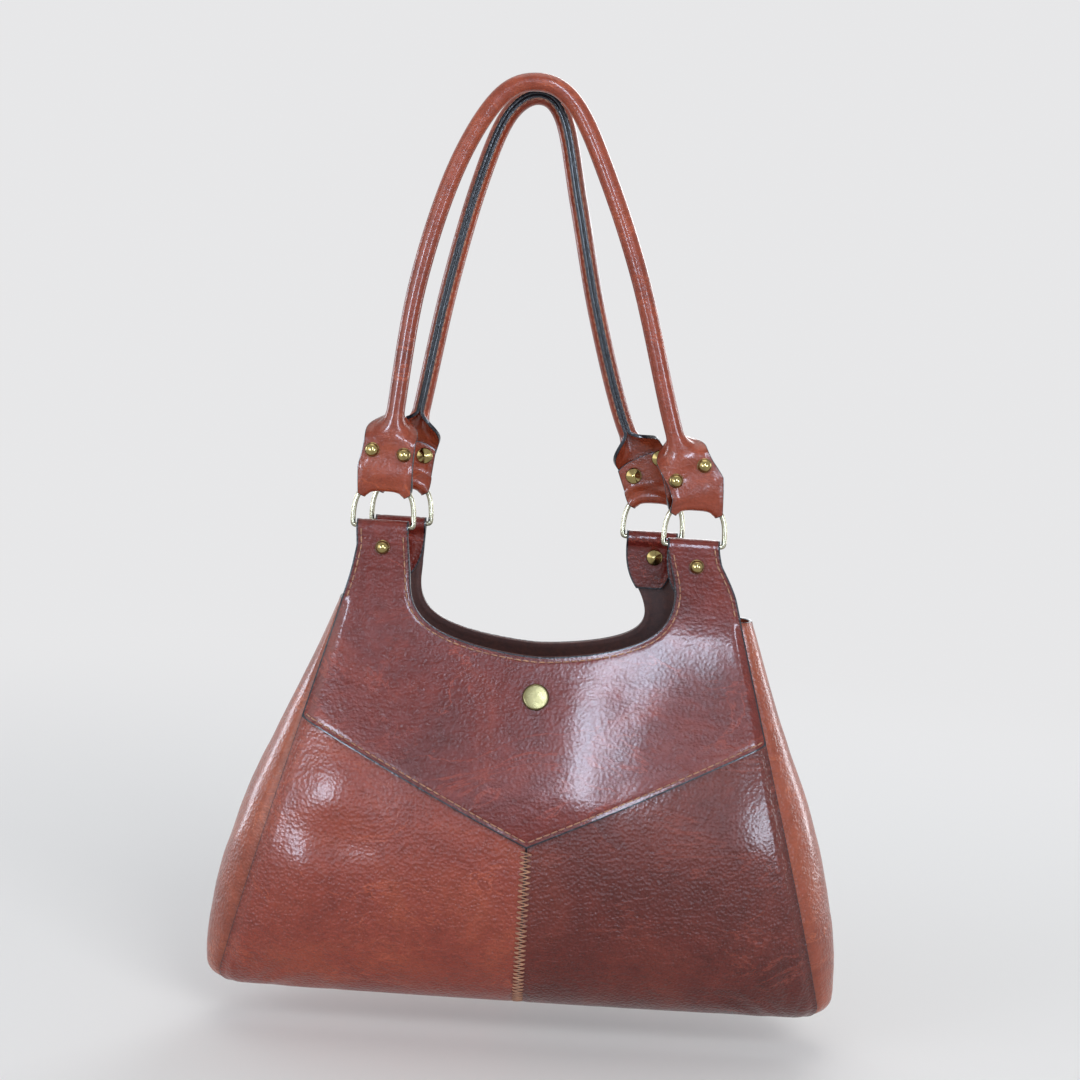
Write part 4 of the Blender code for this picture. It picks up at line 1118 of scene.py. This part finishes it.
def handle_rivets(face, side):
    """Where a tab's two rivets cross the outer face of the strap, from left to right."""
    course = handle_course(face)
    if side == RIGHT:
        course = course[::-1]
    lengths = path_lengths(course)
    stop = HANDLE_RIVET_RISE - TAB_STRAIGHT
    centre = along_path(course, lengths, stop)
    along = unit(along_path(np.gradient(course, axis=0), lengths, stop))
    places = []
    for half in (-0.5, 0.5):
        x = centre[0] + along[1] * half * HANDLE_RIVET_SPACING
        z = centre[1] - along[0] * half * HANDLE_RIVET_SPACING
        places.append((x, face * (STRAP_Y + LEATHER / 2 + FIT_GAP), z))
    return sorted(places)


def flange_stitches(face):
    """Sewing through both layers of a handle's flange, seen on both sides."""
    course = handle_course(face)
    length = path_lengths(course)[-1]
    rolled = ROLL_END - TAB_STRAIGHT
    stops = np.linspace(rolled, length - rolled, FLANGE_LINE_STEPS)
    tubes = []
    half = STRAP_WIDTH / 2 - STITCH_INSET
    both = course_rows(face, np.array([-half, half]), stops)
    outward = unit(both[:, 1] - both[:, 0])
    for k, sign in ((0, -1), (1, 1)):
        normals = sign * outward
        tubes += stitch_tubes(both[:, k] + normals * LEATHER / 2, normals)
    return tubes


for face in (FRONT, BACK):
    name = FACE_NAMES[face]
    handle = name + "_handle"
    cad = handle + "_strap"
    mesh = leather_mesh(cad + "_look", [handle_grid(face)], LEATHER, 0, face == BACK)
    add_piece(mesh, (handle_leather, flesh_side, dyed_edge), [cad], handle)
    mesh = tube_mesh(handle + "_stitching", flange_stitches(face), STITCH_SIDES)
    add_piece(mesh, [sewing_thread], (), handle)
    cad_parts[handle + "_cord"].material_slots[0].material = cord_thread
    for side in (LEFT, RIGHT):
        cad = f"{name}_{SIDE_NAMES[side]}_ring"
        path = ring_path(face, side)
        mesh = tube_mesh(cad + "_look", [(path, np.full(len(path), WIRE_RADIUS), True)], WIRE_SIDES)
        add_piece(mesh, [ring_metal], [cad], cad + "_link")
        for number, centre in enumerate(handle_rivets(face, side), 1):
            cad = f"{name}_{SIDE_NAMES[side]}_handle_rivet_{number}"
            outline = rivet_outline(2 * LEATHER + FIT_GAP)
            mesh = turned_mesh(cad + "_look", [(outline, centre, (0, face, 0))])
            add_piece(mesh, [rivet_brass], [cad], handle)


# Floor, light and camera

FLOOR_Z = -0.462
FLOOR_HALF = 30
BACKGROUND = (0.80, 0.80, 0.81, 1)


def plain_rays(tree):
    """One for rays that show the background: seen directly, in metal or through glass."""
    rays = node(tree, "LightPath", {}).outputs
    found = rays["Is Camera Ray"]
    for kind in ("Is Glossy Ray", "Is Transmission Ray"):
        found = node(tree, "Math", {0: found, 1: rays[kind]}, operation="MAXIMUM").outputs[0]
    return found


floor_mesh = bpy.data.meshes.new("floor")
corners = [(x * FLOOR_HALF, y * FLOOR_HALF, FLOOR_Z) for x, y in ((-1, -1), (1, -1), (1, 1), (-1, 1))]
floor_mesh.from_pydata(corners, [], [(0, 1, 2, 3)])
floor = bpy.data.objects.new("floor", floor_mesh)
bpy.context.collection.objects.link(floor)
floor_paint, tree, place_at = new_material("floor_paint")
distance = node(tree, "VectorMath", {0: place_at, 1: (BAG_OFFSET_X, 0, FLOOR_Z)}, operation="DISTANCE")
away = spread(tree, distance.outputs["Value"], 0.25, 1.1, interpolation_type="SMOOTHSTEP")
far = node(tree, "Math", {0: away, 1: plain_rays(tree)}, operation="MULTIPLY").outputs[0]
matt = node(tree, "BsdfDiffuse", {"Color": grey(0.80)})
pale = node(tree, "Emission", {"Color": BACKGROUND, "Strength": 1.0})
shown = node(tree, "MixShader", {0: far, 1: matt.outputs[0], 2: pale.outputs[0]})
node(tree, "OutputMaterial", {"Surface": shown.outputs[0]})
floor_mesh.materials.append(floor_paint)

scene = bpy.context.scene
scene.view_settings.view_transform = "Standard"
world = bpy.data.worlds.new("studio")
scene.world = world
world.use_nodes = True
tree = world.node_tree
tree.nodes.clear()
ambient = node(tree, "Background", {"Color": (0.93, 0.96, 1.0, 1), "Strength": 0.45})
seen = node(tree, "Background", {"Color": BACKGROUND, "Strength": 1.0})
both = node(tree, "MixShader", {0: plain_rays(tree), 1: ambient.outputs[0], 2: seen.outputs[0]})
node(tree, "OutputWorld", {"Surface": both.outputs[0]})


LAMP_AIM = Vector((BAG_OFFSET_X, 0, -0.28))


def softbox(name, place_at, size, watts, colour, shines=True, lights=True):
    lamp = bpy.data.lights.new(name, "AREA")
    lamp.shape = "RECTANGLE"
    lamp.size, lamp.size_y = size
    lamp.energy = watts
    lamp.color = colour
    made = bpy.data.objects.new(name, lamp)
    bpy.context.collection.objects.link(made)
    made.location = place_at
    made.rotation_euler = (LAMP_AIM - Vector(place_at)).to_track_quat("-Z", "Y").to_euler()
    made.visible_glossy = shines
    made.visible_diffuse = lights


softbox("key", (0.9, -1.6, 0.7), (1.0, 1.0), 17, (1.0, 0.98, 0.96), shines=False)
softbox("window", (0.27, -1.95, 0.55), (0.15, 1.10), 26, (0.66, 0.80, 1.0), lights=False)
softbox("left_window", (-1.00, -1.75, -0.10), (0.30, 0.60), 24, (0.68, 0.82, 1.0), lights=False)
softbox("right_window", (1.25, -1.65, -0.10), (0.30, 0.60), 20, (0.68, 0.82, 1.0), lights=False)
softbox("left_strip", (-1.70, 0.80, -0.10), (0.25, 0.90), 10, (0.80, 0.88, 1.0), lights=False)
softbox("right_strip", (1.70, 0.90, -0.10), (0.25, 0.90), 10, (0.90, 0.94, 1.0), lights=False)
softbox("left_fill", (-1.5, -1.0, 0.2), (1.0, 1.2), 8, (0.92, 0.95, 1.0))
softbox("top", (0.0, 0.2, 1.5), (1.4, 1.4), 8, (1.0, 0.98, 0.95))
softbox("back_fill", (0.6, 1.8, 0.5), (1.2, 1.0), 14, (0.95, 0.97, 1.0))

lens = bpy.data.cameras.new("camera")
lens.lens = 64.525
lens.sensor_width = 36
camera = bpy.data.objects.new("camera", lens)
bpy.context.collection.objects.link(camera)
camera.location = (0.0209, -0.9462, -0.0925)
camera.rotation_euler = [math.radians(angle) for angle in (82.875, -3.48, 0.884)]
scene.camera = camera

bpy.context.view_layer.update()
